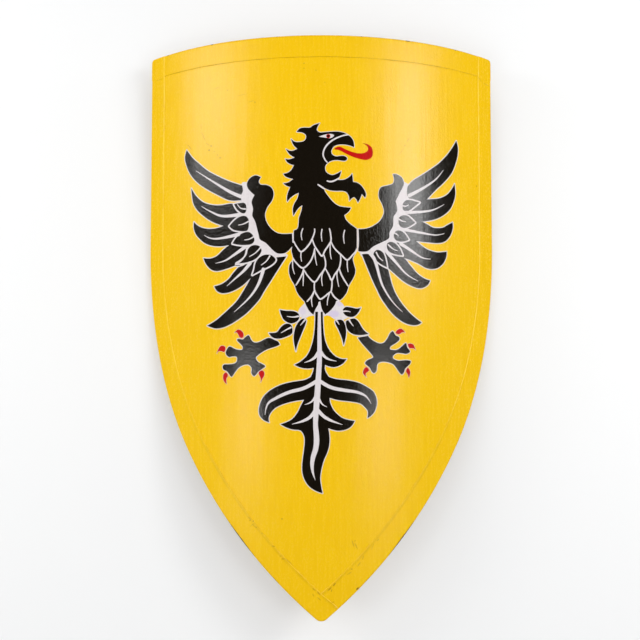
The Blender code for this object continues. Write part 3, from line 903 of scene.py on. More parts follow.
wings = {
    "feathers": (
        (
            (-201, 132.5, 1), (-204, 121), (-200, 108), (-193, 96), (-181, 84), (-168, 75), (-148, 64), (-129, 55),
            (-111, 54, 1), (-112, 60), (-109, 66), (-110, 74, 1), (-129, 81), (-144, 88), (-164, 99), (-178, 110),
            (-189, 119),
        ),
        (
            (-192, 77, 1), (-191, 68), (-188, 55), (-181, 45), (-169, 35), (-154, 26), (-138, 20, 1), (-126, 16, 1),
            (-115, 30), (-118, 48, 1), (-126, 50), (-144, 49), (-159, 51), (-172, 56), (-184, 66),
        ),
        (
            (-187, 29, 1), (-187, 20), (-183, 11), (-175, 3), (-168, -2), (-158, -6), (-143, -8), (-129, -7, 1),
            (-119, -8, 1), (-113, 0), (-117, 14, 1), (-127, 19, 1), (-138, 20, 1), (-146, 18), (-154, 17), (-166, 18),
            (-178, 22),
        ),
        (
            (-170, -23, 1), (-166, -31), (-158, -39), (-148, -42), (-135, -40), (-121, -36, 1), (-113, -36, 1),
            (-101, -20), (-107, -6, 1), (-120, -7, 1), (-129, -7, 1), (-138, -13), (-148, -21), (-158, -24),
        ),
        (
            (-152, -63, 1), (-147, -70), (-138, -73), (-125, -71), (-110, -64), (-99, -55, 1), (-92, -50, 1),
            (-86, -36), (-92, -28, 1), (-108, -36, 1), (-115, -38, 1), (-122, -45), (-130, -54), (-140, -60),
        ),
        (
            (-163, -117, 1), (-150, -121), (-138, -120), (-127, -116), (-116, -110), (-104, -102), (-93, -92),
            (-84, -82), (-78, -72), (-70, -60), (-55, -37), (-47, -25, 1), (-60, -26, 1), (-72, -30), (-88, -43),
            (-94, -48, 1), (-102, -62), (-109, -73), (-117, -84), (-128, -94), (-138, -102), (-149, -110),
        ),
        (
            (202, 146, 1), (205, 134), (202, 118), (193, 99), (179, 84), (164, 71), (151, 58, 1), (126, 54, 1),
            (120, 62), (121, 74, 1), (129, 82), (143, 91), (161, 103), (173, 112), (189, 128),
        ),
        (
            (198, 84, 1), (199, 67), (191, 49), (180, 39), (164, 31), (142, 26, 1), (127, 22, 1), (116, 32),
            (122, 52), (129, 57, 1), (153, 58), (171, 61), (184, 67), (193, 76),
        ),
        (
            (194, 29, 1), (194, 20), (189, 9), (180, 1), (169, -2), (150, -2), (132, -1, 1), (119, -2, 1), (112, 10),
            (118, 18), (131, 25, 1), (143, 26, 1), (151, 23), (161, 19), (176, 20), (184, 24),
        ),
        (
            (183, -13, 1), (182, -21), (176, -31), (164, -38), (150, -38), (136, -32), (118, -26, 1), (109, -26, 1),
            (103, -8), (112, 2), (122, 0, 1), (133, -1, 1), (140, -6), (151, -12), (166, -15), (177, -14),
        ),
        (
            (155, -55, 1), (150, -62), (140, -66), (128, -64), (115, -58), (103, -49), (92, -40, 1), (84, -36),
            (86, -20), (104, -18), (112, -25, 1), (117, -27, 1), (125, -36), (135, -46), (145, -52),
        ),
        (
            (141, -113, 1), (136, -116), (128, -117), (118, -115), (108, -110), (97, -101), (88, -90), (81, -80),
            (76, -70), (71, -60), (62, -39), (55, -22, 1), (66, -22), (80, -30), (92, -43, 1), (97, -62), (101, -72),
            (107, -82), (115, -92), (124, -101), (133, -108),
        ),
    ),
    "arms": (
        (
            (-83, 84, 1), (-91, 87), (-99, 83), (-103, 76), (-101, 69), (-92, 60, 1), (-96, 51), (-94, 41), (-95, 32),
            (-91, 24), (-86, 6), (-84, -1), (-76, -6), (-61, -20), (-51, -21), (-44, -17, 1), (-36, -8, 1),
            (-36, 6, 1), (-56, 6), (-66, 11), (-74, 21), (-77, 32), (-74, 42), (-67, 52), (-65, 61), (-68, 69),
            (-75, 73), (-83, 74), (-86, 78),
        ),
        (
            (99, 89, 1), (105, 89), (113, 84), (115, 76), (109, 64), (103, 52, 1), (105, 39), (100, 31), (99, 18),
            (94, 9), (93, 1), (83, -5), (71, -11), (62, -18), (50, -18, 1), (50, 12, 1), (61, 13), (71, 17), (81, 25),
            (86, 36), (84, 46), (79, 56), (79, 64), (82, 70), (91, 73), (99, 76), (101, 82),
        ),
    ),
    "coverts": (
        ((-122, 49, 1), (-117, 41), (-110, 36), (-106, 36), (-104, 39), (-104, 46), (-107, 50), (-114, 50)),
        (
            (-129, 19, 1), (-122, 26), (-114, 31), (-106, 32), (-101, 28), (-100, 19), (-102, 12), (-108, 11),
            (-116, 12), (-123, 14),
        ),
        (
            (-124, -5, 1), (-118, 3), (-110, 8), (-102, 10), (-97, 8), (-93, 3), (-92, -3), (-96, -7), (-106, -8),
            (-116, -7),
        ),
        (
            (-118, -33, 1), (-108, -27), (-103, -21), (-101, -14), (-97, -10), (-91, -8.5), (-85, -10), (-82, -14),
            (-82, -18), (-86, -24), (-93, -29), (-104, -32),
        ),
        (
            (-94.5, -49, 1), (-92, -42), (-90, -33), (-86, -27), (-80, -23), (-74, -22), (-68, -23), (-63, -27),
            (-62, -30), (-65, -34), (-71, -38), (-80, -42),
        ),
        (
            (139, 52.5, 1), (132, 47), (124, 41), (118, 39), (114, 41), (113, 46), (114, 50), (118, 54), (125, 55),
            (131, 54),
        ),
        (
            (132, 24, 1), (126, 20), (120, 17), (113, 16), (108, 20), (107, 25), (108, 30), (113, 33), (120, 33),
            (126, 29),
        ),
        ((122, 0, 1), (113, -3), (104, -2), (100, 3), (101, 9), (106, 12), (112, 11), (118, 6)),
        ((113, -22, 1), (103, -21), (94, -18), (90, -12), (91, -6), (96, -4), (102, -6), (108, -12)),
        ((90, -39, 1), (80, -34), (73, -28), (71, -21), (75, -16), (80, -16), (85, -20), (88, -28)),
    ),
    "bands": (
        (
            (-110, 78), (-100, 76), (-88, 50), (-84, 20), (-78, 0), (-60, -18), (-48, -21), (-45, -24), (-60, -24.5),
            (-68, -26), (-80, -26), (-95, -28), (-112, -5), (-118, 20), (-114, 40), (-113, 60),
        ),
        (
            (122, 76), (108, 80), (98, 64), (94, 48), (93, 34), (88, 20), (82, 8), (70, 0), (56, -10), (52, -20),
            (56, -26), (70, -24), (90, -22), (112, -2), (118, 20), (124, 40), (122, 60),
        ),
    ),
    "quillWidths": (0.7, 2.2, 3.6, 5.0),
    "quills": (
        ((-184, 101), (-152, 81), (-129, 67), (-112, 59)), ((-174, 50), (-158, 41), (-141, 34), (-116, 34)),
        ((-169, 9), (-158, 4), (-144, 3), (-115, 7)), ((-150, -31), (-135, -28), (-122, -21), (-106, -11)),
        ((-132, -63), (-118, -52), (-107, -43), (-98, -33)), ((-121, -99), (-98, -79), (-86, -62), (-79, -42)),
        ((178, 101), (164, 86), (143, 72), (123, 61)), ((179, 53), (161, 44), (143, 40), (112, 37)),
        ((179, 12), (164, 9), (143, 10.5), (108, 14.5)), ((156, -25), (142, -23.5), (126, -15), (110, -6)),
        ((135, -56), (118, -47), (103, -32), (90, -18)),
        ((112, -99), (100, -88), (90, -75), (82, -60), (73, -30), (66, -20)),
    ),
    "covertWidths": (1.1, 2.1),
    "covertLines": (
        ((-117, 48.5), (-112, 43), (-105, 41.5)), ((-115, 20), (-108, 21), (-101, 24)),
        ((-106, -1), (-99, 0), (-93, 3)),
        ((-99, -24), (-90, -19), (-83, -12)), ((-82, -36), (-75, -31), (-70, -24)),
        ((-120, -35), (-110, -28.5), (-105, -21), (-103, -13)), ((122, 48.5), (118, 46), (113, 46.5)),
        ((118, 24.5), (113, 25), (108, 27.5)), ((107, 4.5), (104, 7), (100, 9)), ((105, -16), (98, -13), (92, -8)),
        ((84, -30), (79, -26), (75, -19)),
    ),
}

body = {
    "outline": (
        (-2, 156, 1), (-5, 151), (-6, 146), (-1, 143, 1), (11, 144), (21, 144.6), (29, 143.5), (35, 141), (39.5, 138),
        (43, 133.5), (44.5, 128), (44.5, 123.5, 1), (41, 125), (35, 126.5), (27.5, 127), (21, 126), (16, 123),
        (13.5, 117.5), (15, 113), (20, 110.6), (28, 111.5), (33, 110.5), (35, 107.5), (32, 104.6), (22.5, 105.4),
        (16, 105), (10, 102.5), (5.6, 97.5), (5.6, 91), (9, 87), (15, 85), (21, 87), (27, 90.6, 1), (25, 84),
        (22.5, 78.5, 1), (31, 79), (37.5, 82.5), (42, 87.5, 1), (43, 76, 1), (49, 75), (55, 70.6), (60.6, 61),
        (59.6, 55, 1), (55, 60, 1), (52.5, 53), (49.6, 48, 1), (47.5, 52.5), (44.4, 55.6, 1), (41, 53.5), (38, 50, 1),
        (37.5, 56), (35, 61), (30, 63.4), (20, 63.4), (11, 64.4), (3, 68, 1), (5, 62.5), (11, 54), (17.5, 47),
        (24, 43), (32.5, 41.5), (40, 41, 1), (37.5, 36), (31, 30.6, 1), (33, 25), (37.5, 20), (48, 12.5, 1),
        (48, -10), (47.5, -17.5), (42.5, -27.5), (44, -36), (46, -44), (44, -52.5), (37.5, -64), (34, -74), (29, -81),
        (25.6, -84, 1), (20, -85.5, 1), (18, -91), (12, -98.5), (5.5, -103.5, 1), (1.5, -98), (-0.5, -91),
        (-1.5, -85, 1), (-4, -90), (-8, -97), (-10.5, -104, 1), (-16, -99), (-20, -92), (-22.5, -86, 1), (-29, -79),
        (-33, -72.5), (-36, -64), (-41, -55), (-43.5, -46), (-42.5, -36), (-38, -29), (-40, -17.5), (-39, -11),
        (-37.5, 0), (-37, 10, 1), (-32, 12.5), (-30.5, 20), (-30, 27), (-27.5, 34), (-25.5, 44, 1), (-30, 41),
        (-34, 36), (-37.5, 30, 1), (-38.5, 38), (-37, 45), (-32, 54), (-30.5, 61, 1), (-36, 58.5), (-42, 54),
        (-46, 49, 1), (-46.5, 55), (-45, 62), (-42, 69, 1), (-48, 71.5), (-51.5, 74.4, 1), (-45, 75.5), (-38, 80, 1),
        (-44, 81.5), (-49, 84), (-51.5, 87.5, 1), (-46, 88.5), (-41, 92), (-38.5, 96), (-37, 99, 1), (-41, 100),
        (-46, 103), (-49, 108, 1), (-44, 107), (-36, 109.5, 1), (-40, 111.5), (-44, 115), (-48, 121.5, 1),
        (-41, 118.5), (-32.5, 121, 1), (-38, 127), (-41, 135, 1), (-36, 131), (-29, 130.4), (-23, 132), (-20.6, 136),
        (-21, 140), (-25, 143), (-30, 144), (-33.4, 144.4, 1), (-29, 149), (-24, 150), (-15, 150), (-11, 153),
    ),
    "eye": ((-3.5, 137.5, 1), (4, 140), (10, 141.2), (15, 141), (17.5, 139), (13, 135.5), (5, 136)),
    "iris": (9.5, 138.2, 2.8),
    "pupil": 1.95,
    "tongue": (
        (17.5, 120.6), (24.4, 124), (32.5, 120.6), (42.5, 117), (52.5, 115.4), (60, 117), (64, 121), (62.5, 126),
        (56.3, 129.6, 1), (64, 128), (69, 124), (70.6, 117.5), (69, 111), (62.5, 107), (54, 107.5), (42.5, 110.6),
        (32.5, 115), (24.4, 119),
    ),
    "lineWidths": (1.7, 2.2, 2.2, 1.7),
    "lines": (
        ((37.5, 140.6), (29, 139), (17.5, 134), (9, 127.5), (4, 120), (2.5, 112.5), (5, 106), (8, 102.5)),
        ((8, 77), (12.5, 76), (18, 77.5), (24, 81)),
        ((-4.4, 72), (0, 69), (5, 65.5)), ((-38.5, 12), (-38, -6)), ((49.5, 14), (49.5, -12), (47, -19), (62, -19)),
        ((-37, -5), (-33, -12.5), (-27, -19), (-17, -10), (-12, -1), (-9, 7.5), (-9, 11.5)),
        ((-12, -2.5), (-9, -11), (-4, -19), (1, -25), (5, -17.5), (10, -10), (13, -4), (12.5, 5), (11, 12)),
        ((13, -5), (17.5, -14), (27.5, -24), (35, -30), (42.5, -23), (47, -17.5), (50, -10)),
        ((-38, -27.5), (-35, -32.5), (-25, -41), (-16, -34), (-11, -24), (-9, -15)),
        ((3, -22.5), (5.6, -32.5), (5, -41), (-1, -50), (-9, -60), (-17.5, -52.5), (-24, -42.5)),
        ((26, -24), (26, -32.5), (24, -41), (17.5, -51), (14, -57.5), (10, -50), (5, -41)),
        ((-24, -42.5), (-26, -50), (-34, -64)), ((24, -41), (27.5, -51), (36, -65)),
        ((-9, -60), (-9, -71), (-5, -79), (-1, -83), (10, -75), (13, -72.5), (14.4, -62.5), (14, -56)),
        ((-9, -71), (-13, -79), (-19, -86)), ((13, -72.5), (17.5, -80), (24, -85)),
    ),
    "tickWidths": (1.6, 1.6, 1.0),
    "ticks": (
        ((-25, 12), (-27, 5), (-26, -3)), ((1, 11), (0, 4), (1, -5)), ((31.6, 10), (30, 2.5), (31, -7.5)),
        ((-27, -19), (-27.5, -25), (-26.5, -32)),
        ((-9, -15), (-8, -27.5), (-6, -37.5)), ((12, -7.5), (12, -20), (13.4, -29)),
        ((35, -31), (35, -37.5), (36, -46)), ((-38.5, -30), (-38.5, -40), (-36, -49)),
        ((-24, -46), (-24.4, -65)), ((4.4, -42.5), (0.6, -52.5), (1.5, -65)), ((23, -42.5), (21, -50), (23.5, -66)),
        ((-10, -75), (-13, -82.5), (-12, -93)), ((11, -75), (8.5, -84), (8, -91)),
    ),
}

legs = {
    "leaves": (
        (
            (-56, -97, 1), (-47, -98.5), (-38, -99), (-31, -102), (-29.5, -108), (-33, -113), (-41, -115.5),
            (-50, -111), (-54, -104),
        ),
        (
            (-71, -128, 1), (-60, -127), (-54, -120), (-48, -116), (-42, -116.5), (-39, -121), (-39.5, -129),
            (-49, -134), (-58, -136), (-66, -134),
        ),
        ((-34, -153, 1), (-37, -136), (-35, -122), (-30, -113), (-24, -109), (-20, -112), (-27, -131), (-32, -144)),
        (
            (53.5, -94, 1), (48, -95.5), (40, -94), (33, -93.5), (29, -97), (30, -102), (35, -106), (43, -106.5),
            (49, -102),
        ),
        (
            (33, -113), (36, -111), (38, -110), (45, -109), (50, -113), (53, -118), (58, -125), (64, -129.5, 1),
            (56, -131), (48, -131), (42, -129.5), (36, -125), (33.5, -119),
        ),
        (
            (19, -112), (26, -110.5), (30, -113), (33, -122), (33, -132), (30, -145, 1), (27.5, -135), (23, -124),
            (19, -116),
        ),
    ),
    "leafWidths": (0.9, 2.3),
    "leafLines": (
        ((-46, -106), (-38, -107), (-31, -106)), ((-54, -128), (-47, -124), (-41, -121)), ((-28, -118), (-22, -111)),
        ((39, -100), (34, -99), (29, -99.5)), ((43, -119), (40, -115), (37.5, -111)), ((24, -117), (20, -111)),
    ),
    "puffs": (
        ((-20, -88), (-27, -93), (-31, -100), (-29, -106), (-23, -109), (-16, -106), (-9, -104), (-12, -98)),
        ((18, -84), (25, -86), (31, -93), (28.5, -99), (36, -107), (28, -111), (18, -110), (12, -106), (5, -103)),
        ((-1, -80, 1), (-11, -105, 1), (-8, -106, 1), (-1, -104), (4, -106, 1), (7, -105, 1)),
    ),
    "feet": (
        (
            (49, -134.5, 1), (63, -132, 1), (66, -135.5), (72, -139.5), (78, -142), (83, -142), (87, -139.5),
            (91, -134), (94, -128.5), (98, -125.5), (102, -131), (107, -133.5), (107.5, -137), (103, -141),
            (98, -144), (94, -147), (94, -150), (102, -151), (107, -149), (111, -146), (117, -141.5), (119, -147),
            (123, -153), (118, -156), (111, -155.3), (104, -155), (98, -159), (98.5, -162.5), (105, -165.3),
            (112, -165), (119, -164.7), (124, -166), (122.8, -169.7), (116, -176), (114, -181), (111, -184),
            (108, -182), (102, -174), (98, -170), (92, -167.8), (85.5, -166.7), (80, -167.4), (76, -170),
            (74.5, -179), (71.7, -182), (69, -181), (65, -174.4), (59, -169), (62, -165), (70, -161), (69, -158),
            (60, -148), (53, -140),
        ),
        (
            (-56, -144, 1), (-58, -140), (-62, -138), (-69, -135), (-73, -135), (-84, -140), (-89, -141), (-93, -140),
            (-96, -137), (-98, -133), (-100, -131), (-105, -134), (-108, -136.5), (-115, -135.6), (-116.5, -137.5),
            (-110, -144), (-108, -147), (-109, -150.5), (-114, -150.5), (-119, -149.5), (-127, -146), (-130, -147.5),
            (-133.4, -155), (-129, -160), (-122, -159.4), (-117, -160), (-116, -163), (-117, -167), (-121, -169.4),
            (-129, -170.3), (-136, -170.6), (-138, -173), (-137, -177), (-131, -180), (-126, -186.3), (-124, -187),
            (-119, -180.6), (-114, -175), (-107, -171.5), (-100.6, -170.6), (-97, -172.5), (-95, -176), (-95.3, -182),
            (-92, -186), (-89, -184.4), (-86, -180.6), (-82, -177.5), (-76, -173), (-81, -169.4), (-86, -167),
            (-89, -162.5), (-88, -159.4), (-75, -151), (-61, -146.3),
        ),
    ),
    "claws": (
        (
            (102, -127.2), (104, -124.4), (108, -122), (112, -122.8), (116, -127.2, 1), (113, -126.9),
            (110.6, -127.4), (108, -129.4), (105.6, -129.7), (103, -128.6),
        ),
        (
            (120, -142.8), (124, -141.9), (128, -143.3), (130, -146.7), (131.7, -151, 1), (129.4, -149),
            (125.6, -148.3), (122.8, -148.3), (121, -146.7),
        ),
        (
            (120, -175), (122, -177.2), (123.3, -181), (122.2, -186), (121, -188.6, 1), (120, -185), (118, -181.7),
            (117, -180), (117.8, -176.7),
        ),
        (
            (60.6, -174), (63, -175.6), (64.4, -178.3), (62, -180.8), (60, -182.2), (59.8, -185), (61, -187.8, 1),
            (58, -185), (56, -181.7), (56.7, -178.3), (58.3, -175.6),
        ),
        (
            (-110.6, -124.4), (-115, -123), (-118, -125), (-120.6, -127.5, 1), (-117, -127), (-115, -129.4),
            (-113, -133), (-110, -134.8), (-107, -132.5), (-107.5, -128),
        ),
        (
            (-147.5, -155.6, 1), (-144.4, -152.5), (-140, -152.3), (-136.3, -153.5), (-134, -150.6), (-134.4, -146.5),
            (-137.5, -144.8), (-141.3, -145.4), (-144.4, -148.8),
        ),
        (
            (-133, -181.3), (-130.6, -183), (-130, -186.3), (-132, -189.4), (-132.3, -193.8), (-131.3, -197, 1),
            (-134.4, -195), (-137, -190.6), (-137, -185), (-135, -182),
        ),
        (
            (-80, -178.5), (-77.5, -180.6), (-77.3, -185), (-80, -190), (-82.3, -194.8, 1), (-82, -190),
            (-84.4, -184.4), (-85, -181.3), (-82.5, -178.8),
        ),
    ),
}

tail = {
    "outline": (
        (-8, -100, 1), (-9, -125), (-12, -142), (-18, -157), (-27, -166), (-36, -171, 1), (-28, -174.5), (-19, -176),
        (-10, -175, 1), (-11, -180), (-14, -187, 1), (-22, -191), (-40, -194), (-55, -198), (-70, -206), (-79, -215),
        (-84, -227), (-84, -237), (-79, -244), (-70, -248, 1), (-71, -242), (-68, -235), (-60, -227.5), (-43, -221),
        (-23, -217.5, 1), (-27, -225), (-32, -235), (-40, -244), (-54.6, -250.3, 1), (-47, -254.3), (-38.6, -257),
        (-28.6, -258), (-25, -261), (-22.4, -267), (-22, -274), (-23, -284), (-24.3, -294), (-25.4, -306),
        (-24.6, -316), (-20.7, -326), (-14.3, -333.6), (-5.7, -338.6), (1.7, -341, 1), (0, -333), (-1.4, -323),
        (-1, -316), (0.7, -307), (3.6, -297), (8, -287), (10.3, -278.6), (11, -268.6), (10, -258.6), (9.3, -255, 1),
        (14.3, -257), (23, -258.6), (33, -257), (40, -253), (44.6, -245.7, 1), (35, -244), (27, -241), (17, -232),
        (12, -222), (11, -215, 1), (23, -218), (40, -220), (52, -222.5), (58, -227), (62.5, -233), (62, -242, 1),
        (67, -239), (72.5, -232), (75, -220), (71, -208), (62, -201), (50, -195), (37, -192), (20, -190),
        (10, -187, 1), (5, -178), (5, -171, 1), (10, -173), (18, -174), (28, -170), (34, -163, 1), (27, -163),
        (18, -159), (10, -150), (5, -138), (3, -125), (2, -100, 1),
    ),
    "strokes": (
        (
            (3.0, 4.6, 6.2, 7.0, 8.0, 6.6),
            ((-2.5, -88), (-2.6, -125), (-2.4, -160), (-4.6, -200), (-6.8, -230), (-7.6, -246)),
        ),
        ((5.0, 3.0, 0.6), ((-4, -155), (-11, -163), (-22.5, -168))),
        ((5.0, 3.0, 0.6), ((-2, -152), (7, -162), (20, -166))),
        ((5.0, 4.6, 4.4, 3.4, 0.6), ((-5, -192), (-23, -202), (-43, -207.5), (-60, -215), (-72, -223), (-76, -238))),
        ((5.0, 4.6, 4.4, 3.4, 0.6), ((-3, -192), (13, -201), (32, -205), (48, -207.5), (60, -213), (67, -223))),
        ((3.6, 2.2, 0.6), ((-7, -212), (-13, -220), (-22, -224))),
        ((3.6, 2.2, 0.6), ((-4, -214), (1, -223), (7.5, -227))),
        ((5.0, 3.8, 0.6), ((-7, -230), (-17, -242), (-39, -250))),
        ((5.0, 3.8, 0.6), ((-5, -231), (7, -242), (28, -250.5))),
        (
            (6.4, 6.4, 7.0, 7.4, 6.9, 6.3, 5.0, 3.0, 0.4),
            (
                (-7.4, -240), (-7.6, -252), (-6.7, -262), (-6.3, -272), (-7.4, -282), (-11, -294), (-12.2, -303),
                (-11.3, -313), (-8, -323.6),
            ),
        ),
    ),
}


# A smooth curve through points in cubic pieces, (2t3 - 3t2 + 1) a + (t3 - 2t2 + t) m + (3t2 - 2t3) b + (t3 - t2) n.
# The slopes m and n follow the chord of the neighbours; at a corner a slope is (3 chord - other slope) / 2.
def curveThrough(points, closed=True, step=eagle["step"]):
    place = np.array([point[:2] for point in points], dtype=float)
    corner = np.array([len(point) > 2 for point in points])
    if not closed:
        corner[[0, -1]] = True
    chord = np.roll(place, -1, axis=0) - place
    length = np.linalg.norm(chord, axis=1)
    before = np.roll(chord, 1, axis=0)
    slope = (chord + before) / (length + np.roll(length, 1))[:, None]
    m, n = slope * length[:, None], np.roll(slope, -1, axis=0) * length[:, None]
    atStart, atEnd = corner, np.roll(corner, -1)
    m2 = np.where((atStart & ~atEnd)[:, None], (3 * chord - n) / 2, m)
    n2 = np.where((atEnd & ~atStart)[:, None], (3 * chord - m) / 2, n)
    m, n = (np.where((atStart & atEnd)[:, None], chord, v) for v in (m2, n2))
    pieces = len(place) if closed else len(place) - 1
    counts = np.maximum(1, np.ceil(length[:pieces] / step).astype(int))
    piece = np.repeat(np.arange(pieces), counts)
    t = ((np.arange(len(piece)) - np.repeat(np.cumsum(counts) - counts, counts)) / counts[piece])[:, None]
    curve = (2 * t**3 - 3 * t**2 + 1) * place[piece] + (t**3 - 2 * t**2 + t) * m[piece]
    curve += (3 * t**2 - 2 * t**3) * np.roll(place, -1, axis=0)[piece] + (t**3 - t**2) * n[piece]
    return curve if closed else np.concatenate((curve, place[-1:]))


# A brush stroke as a loop: the curve moved half the width to each side, with a half circle round each end.
def strokeLoop(widths, points):
    curve = curveThrough(points, closed=False)
    run = np.concatenate(((0.0,), np.cumsum(np.linalg.norm(np.diff(curve, axis=0), axis=1))))
    half = np.interp(run / run[-1], np.linspace(0.0, 1.0, len(widths)), widths)[:, None] / 2
    heading = np.gradient(curve, axis=0)
    heading /= np.linalg.norm(heading, axis=1, keepdims=True)
    aside = np.column_stack((-heading[:, 1], heading[:, 0]))
    turn = np.linspace(0.0, math.pi, 7)[1:-1, None]
    far = curve[-1] + half[-1] * (np.cos(turn) * aside[-1] + np.sin(turn) * heading[-1])
    near = curve[0] - half[0] * (np.cos(turn) * aside[0] + np.sin(turn) * heading[0])
    return np.concatenate((curve + half * aside, far, (curve - half * aside)[::-1], near))


# A loop moved outwards by a margin: each point goes along its normal, and outer corners become arcs.
def grown(loop, margin):
    after = np.roll(loop, -1, axis=0) - loop
    area = (loop[:, 0] * np.roll(loop[:, 1], -1) - loop[:, 1] * np.roll(loop[:, 0], -1)).sum()
    if area < 0:
        return grown(loop[::-1], margin)
    angle = np.arctan2(after[:, 1], after[:, 0]) - math.pi / 2
    start = np.roll(angle, 1)
    turn = (angle - start + math.pi) % (2 * math.pi) - math.pi
    counts = np.maximum(1, np.ceil(turn / math.radians(eagle["arcTurn"])).astype(int))
    point = np.repeat(np.arange(len(loop)), counts)
    share = (np.arange(len(point)) - np.repeat(np.cumsum(counts) - counts, counts) + 0.5) / counts[point]
    facing = start[point] + turn[point] * share
    return loop[point] + margin * np.column_stack((np.cos(facing), np.sin(facing)))


# Whether each point lies inside one of the loops, by the signed count of edges it passes, or within a margin of it.
def covered(points, loops, margin=0.0):
    result = np.zeros(len(points), dtype=bool)
    for loop in loops:
        near = ((points > loop.min(axis=0) - margin) & (points < loop.max(axis=0) + margin)).all(axis=1) & ~result
        p, a = points[near][:, None], loop[None]
        b = np.roll(loop, -1, axis=0)[None]
        side = (b[..., 0] - a[..., 0]) * (p[..., 1] - a[..., 1]) - (b[..., 1] - a[..., 1]) * (p[..., 0] - a[..., 0])
        up = (a[..., 1] <= p[..., 1]) & (b[..., 1] > p[..., 1]) & (side > 0)
        down = (a[..., 1] > p[..., 1]) & (b[..., 1] <= p[..., 1]) & (side < 0)
        found = up.sum(axis=1) != down.sum(axis=1)
        if margin > 0:
            span = b - a
            share = np.clip(((p - a) * span).sum(axis=-1) / np.maximum((span**2).sum(axis=-1), 1e-9), 0.0, 1.0)
            found |= (np.linalg.norm(p - a - share[..., None] * span, axis=-1) < margin).any(axis=1)
        result[near] = found
    return result


# A coat of paint: the plane is cut into triangles along all the loops, the ones that the rule keeps are doubled
# into a top and an underside, and walls close the open edges.
def paintCoat(name, loops, rule, top, material):
    counts = np.array([len(loop) for loop in loops])
    starts = np.repeat(np.cumsum(counts) - counts, counts)
    index = np.arange(counts.sum())
    edges = np.column_stack((index, starts + (index - starts + 1) % np.repeat(counts, counts)))
    points = np.concatenate(loops)
    low, high = points.min(axis=0), points.max(axis=0)
    across, up = (np.arange(low[k] + 2, high[k] - 2, eagle["grid"]) for k in (0, 1))
    grid = np.stack(np.meshgrid(across, up), axis=-1).reshape(-1, 2)
    grid = grid[rule(grid)]
    points = [Vector(point) for point in np.concatenate((points, grid)).tolist()]
    cut = delaunay_2d_cdt(points, edges.tolist(), [], 0, 1e-4, False)
    flat = np.array([tuple(point) for point in cut[0]])
    triangles = np.array([face for face in cut[2] if len(face) == 3])
    triangles = triangles[rule(flat[triangles].mean(axis=1))]
    used, triangles = np.unique(triangles, return_inverse=True)
    flat, triangles = flat[used], triangles.reshape(-1, 3)
    sides = np.concatenate((triangles[:, :2], triangles[:, 1:], triangles[:, ::2][:, ::-1]))
    key = np.sort(sides, axis=1)
    key = key[:, 0] * len(flat) + key[:, 1]
    _, first, uses = np.unique(key, return_index=True, return_counts=True)
    rim = sides[first[uses == 1]]
    count = len(flat)
    walls = np.column_stack((rim[:, 1], rim[:, 0], rim[:, 0] + count, rim[:, 1] + count))
    solid = np.concatenate([np.column_stack((flat, np.full(count, z))) for z in (top, eagle["under"])])
    faces = triangles.tolist() + (triangles[:, ::-1] + count).tolist() + walls.tolist()
    piece = newPiece(name, solid, faces, (material,))
    print(name, "made:", len(piece.data.polygons), "faces")
    return piece


# The white lies under the black and the red and shows as a line round them, and as bands between the feathers. The
# black leaves out the strokes, the eye and a line round each covert. The red is claws, tongue and iris, and the
# pupil is black at the red's height.
def eagleCoats():
    ring = np.linspace(0.0, 2 * math.pi, eagle["circle"], endpoint=False)
    x, y, radius = body["iris"]
    iris, pupil = (np.column_stack((x + r * np.cos(ring), y + r * np.sin(ring))) for r in (radius, body["pupil"]))
    eye = curveThrough(body["eye"], step=eagle["eyeStep"])
    coverts = [curveThrough(loop) for loop in wings["coverts"]]
    edged = []
    for loops, line in (
        (wings["feathers"], "featherLine"), (wings["arms"], "armLine"), (legs["leaves"], "leafLine"),
        (legs["feet"], "footLine"), ((body["outline"],), "bodyLine"), ((tail["outline"],), "tailLine"),
    ):
        edged.append(([curveThrough(loop) for loop in loops], eagle[line]))
    blacks = [loop for loops, _ in edged for loop in loops]
    claws = [curveThrough(loop, step=eagle["clawStep"]) for loop in legs["claws"]]
    bands = [curveThrough(loop) for loop in wings["bands"] + legs["puffs"]]
    gaps = [strokeLoop(*stroke) for stroke in tail["strokes"]]
    for part, widths, lines in (
        (wings, "quillWidths", "quills"), (wings, "covertWidths", "covertLines"), (body, "lineWidths", "lines"),
        (body, "tickWidths", "ticks"), (legs, "leafWidths", "leafLines"),
    ):
        gaps += [strokeLoop(part[widths], line) for line in part[lines]]
    gaps.append(eye)
    covertLine = eagle["covertLine"]
    edged += [(coverts, covertLine), (claws, eagle["clawLine"])]
    reds = claws + [curveThrough(body["tongue"]), iris]

    whiteLoops = [grown(loop, margin) for loops, margin in edged for loop in loops] + bands
    blackLoops = blacks + coverts + [grown(loop, covertLine) for loop in coverts] + gaps
    isWhite = lambda p: np.any([covered(p, *pair) for pair in edged] + [covered(p, bands)], axis=0)
    feathered = lambda p: covered(p, coverts) | covered(p, blacks) & ~covered(p, coverts, covertLine)
    isBlack = lambda p: feathered(p) & ~covered(p, gaps)
    isPupil = lambda p: covered(p, [pupil])
    isRed = lambda p: covered(p, reds) & ~isPupil(p)
    paintCoat("eagle_white", whiteLoops, isWhite, eagle["whiteTop"], white)
    paintCoat("eagle_black", blackLoops, isBlack, eagle["blackTop"], black)
    paintCoat("eagle_red", reds + [pupil], isRed, eagle["redTop"], red)
    paintCoat("eagle_pupil", [pupil], isPupil, eagle["redTop"], black)


eagleCoats()


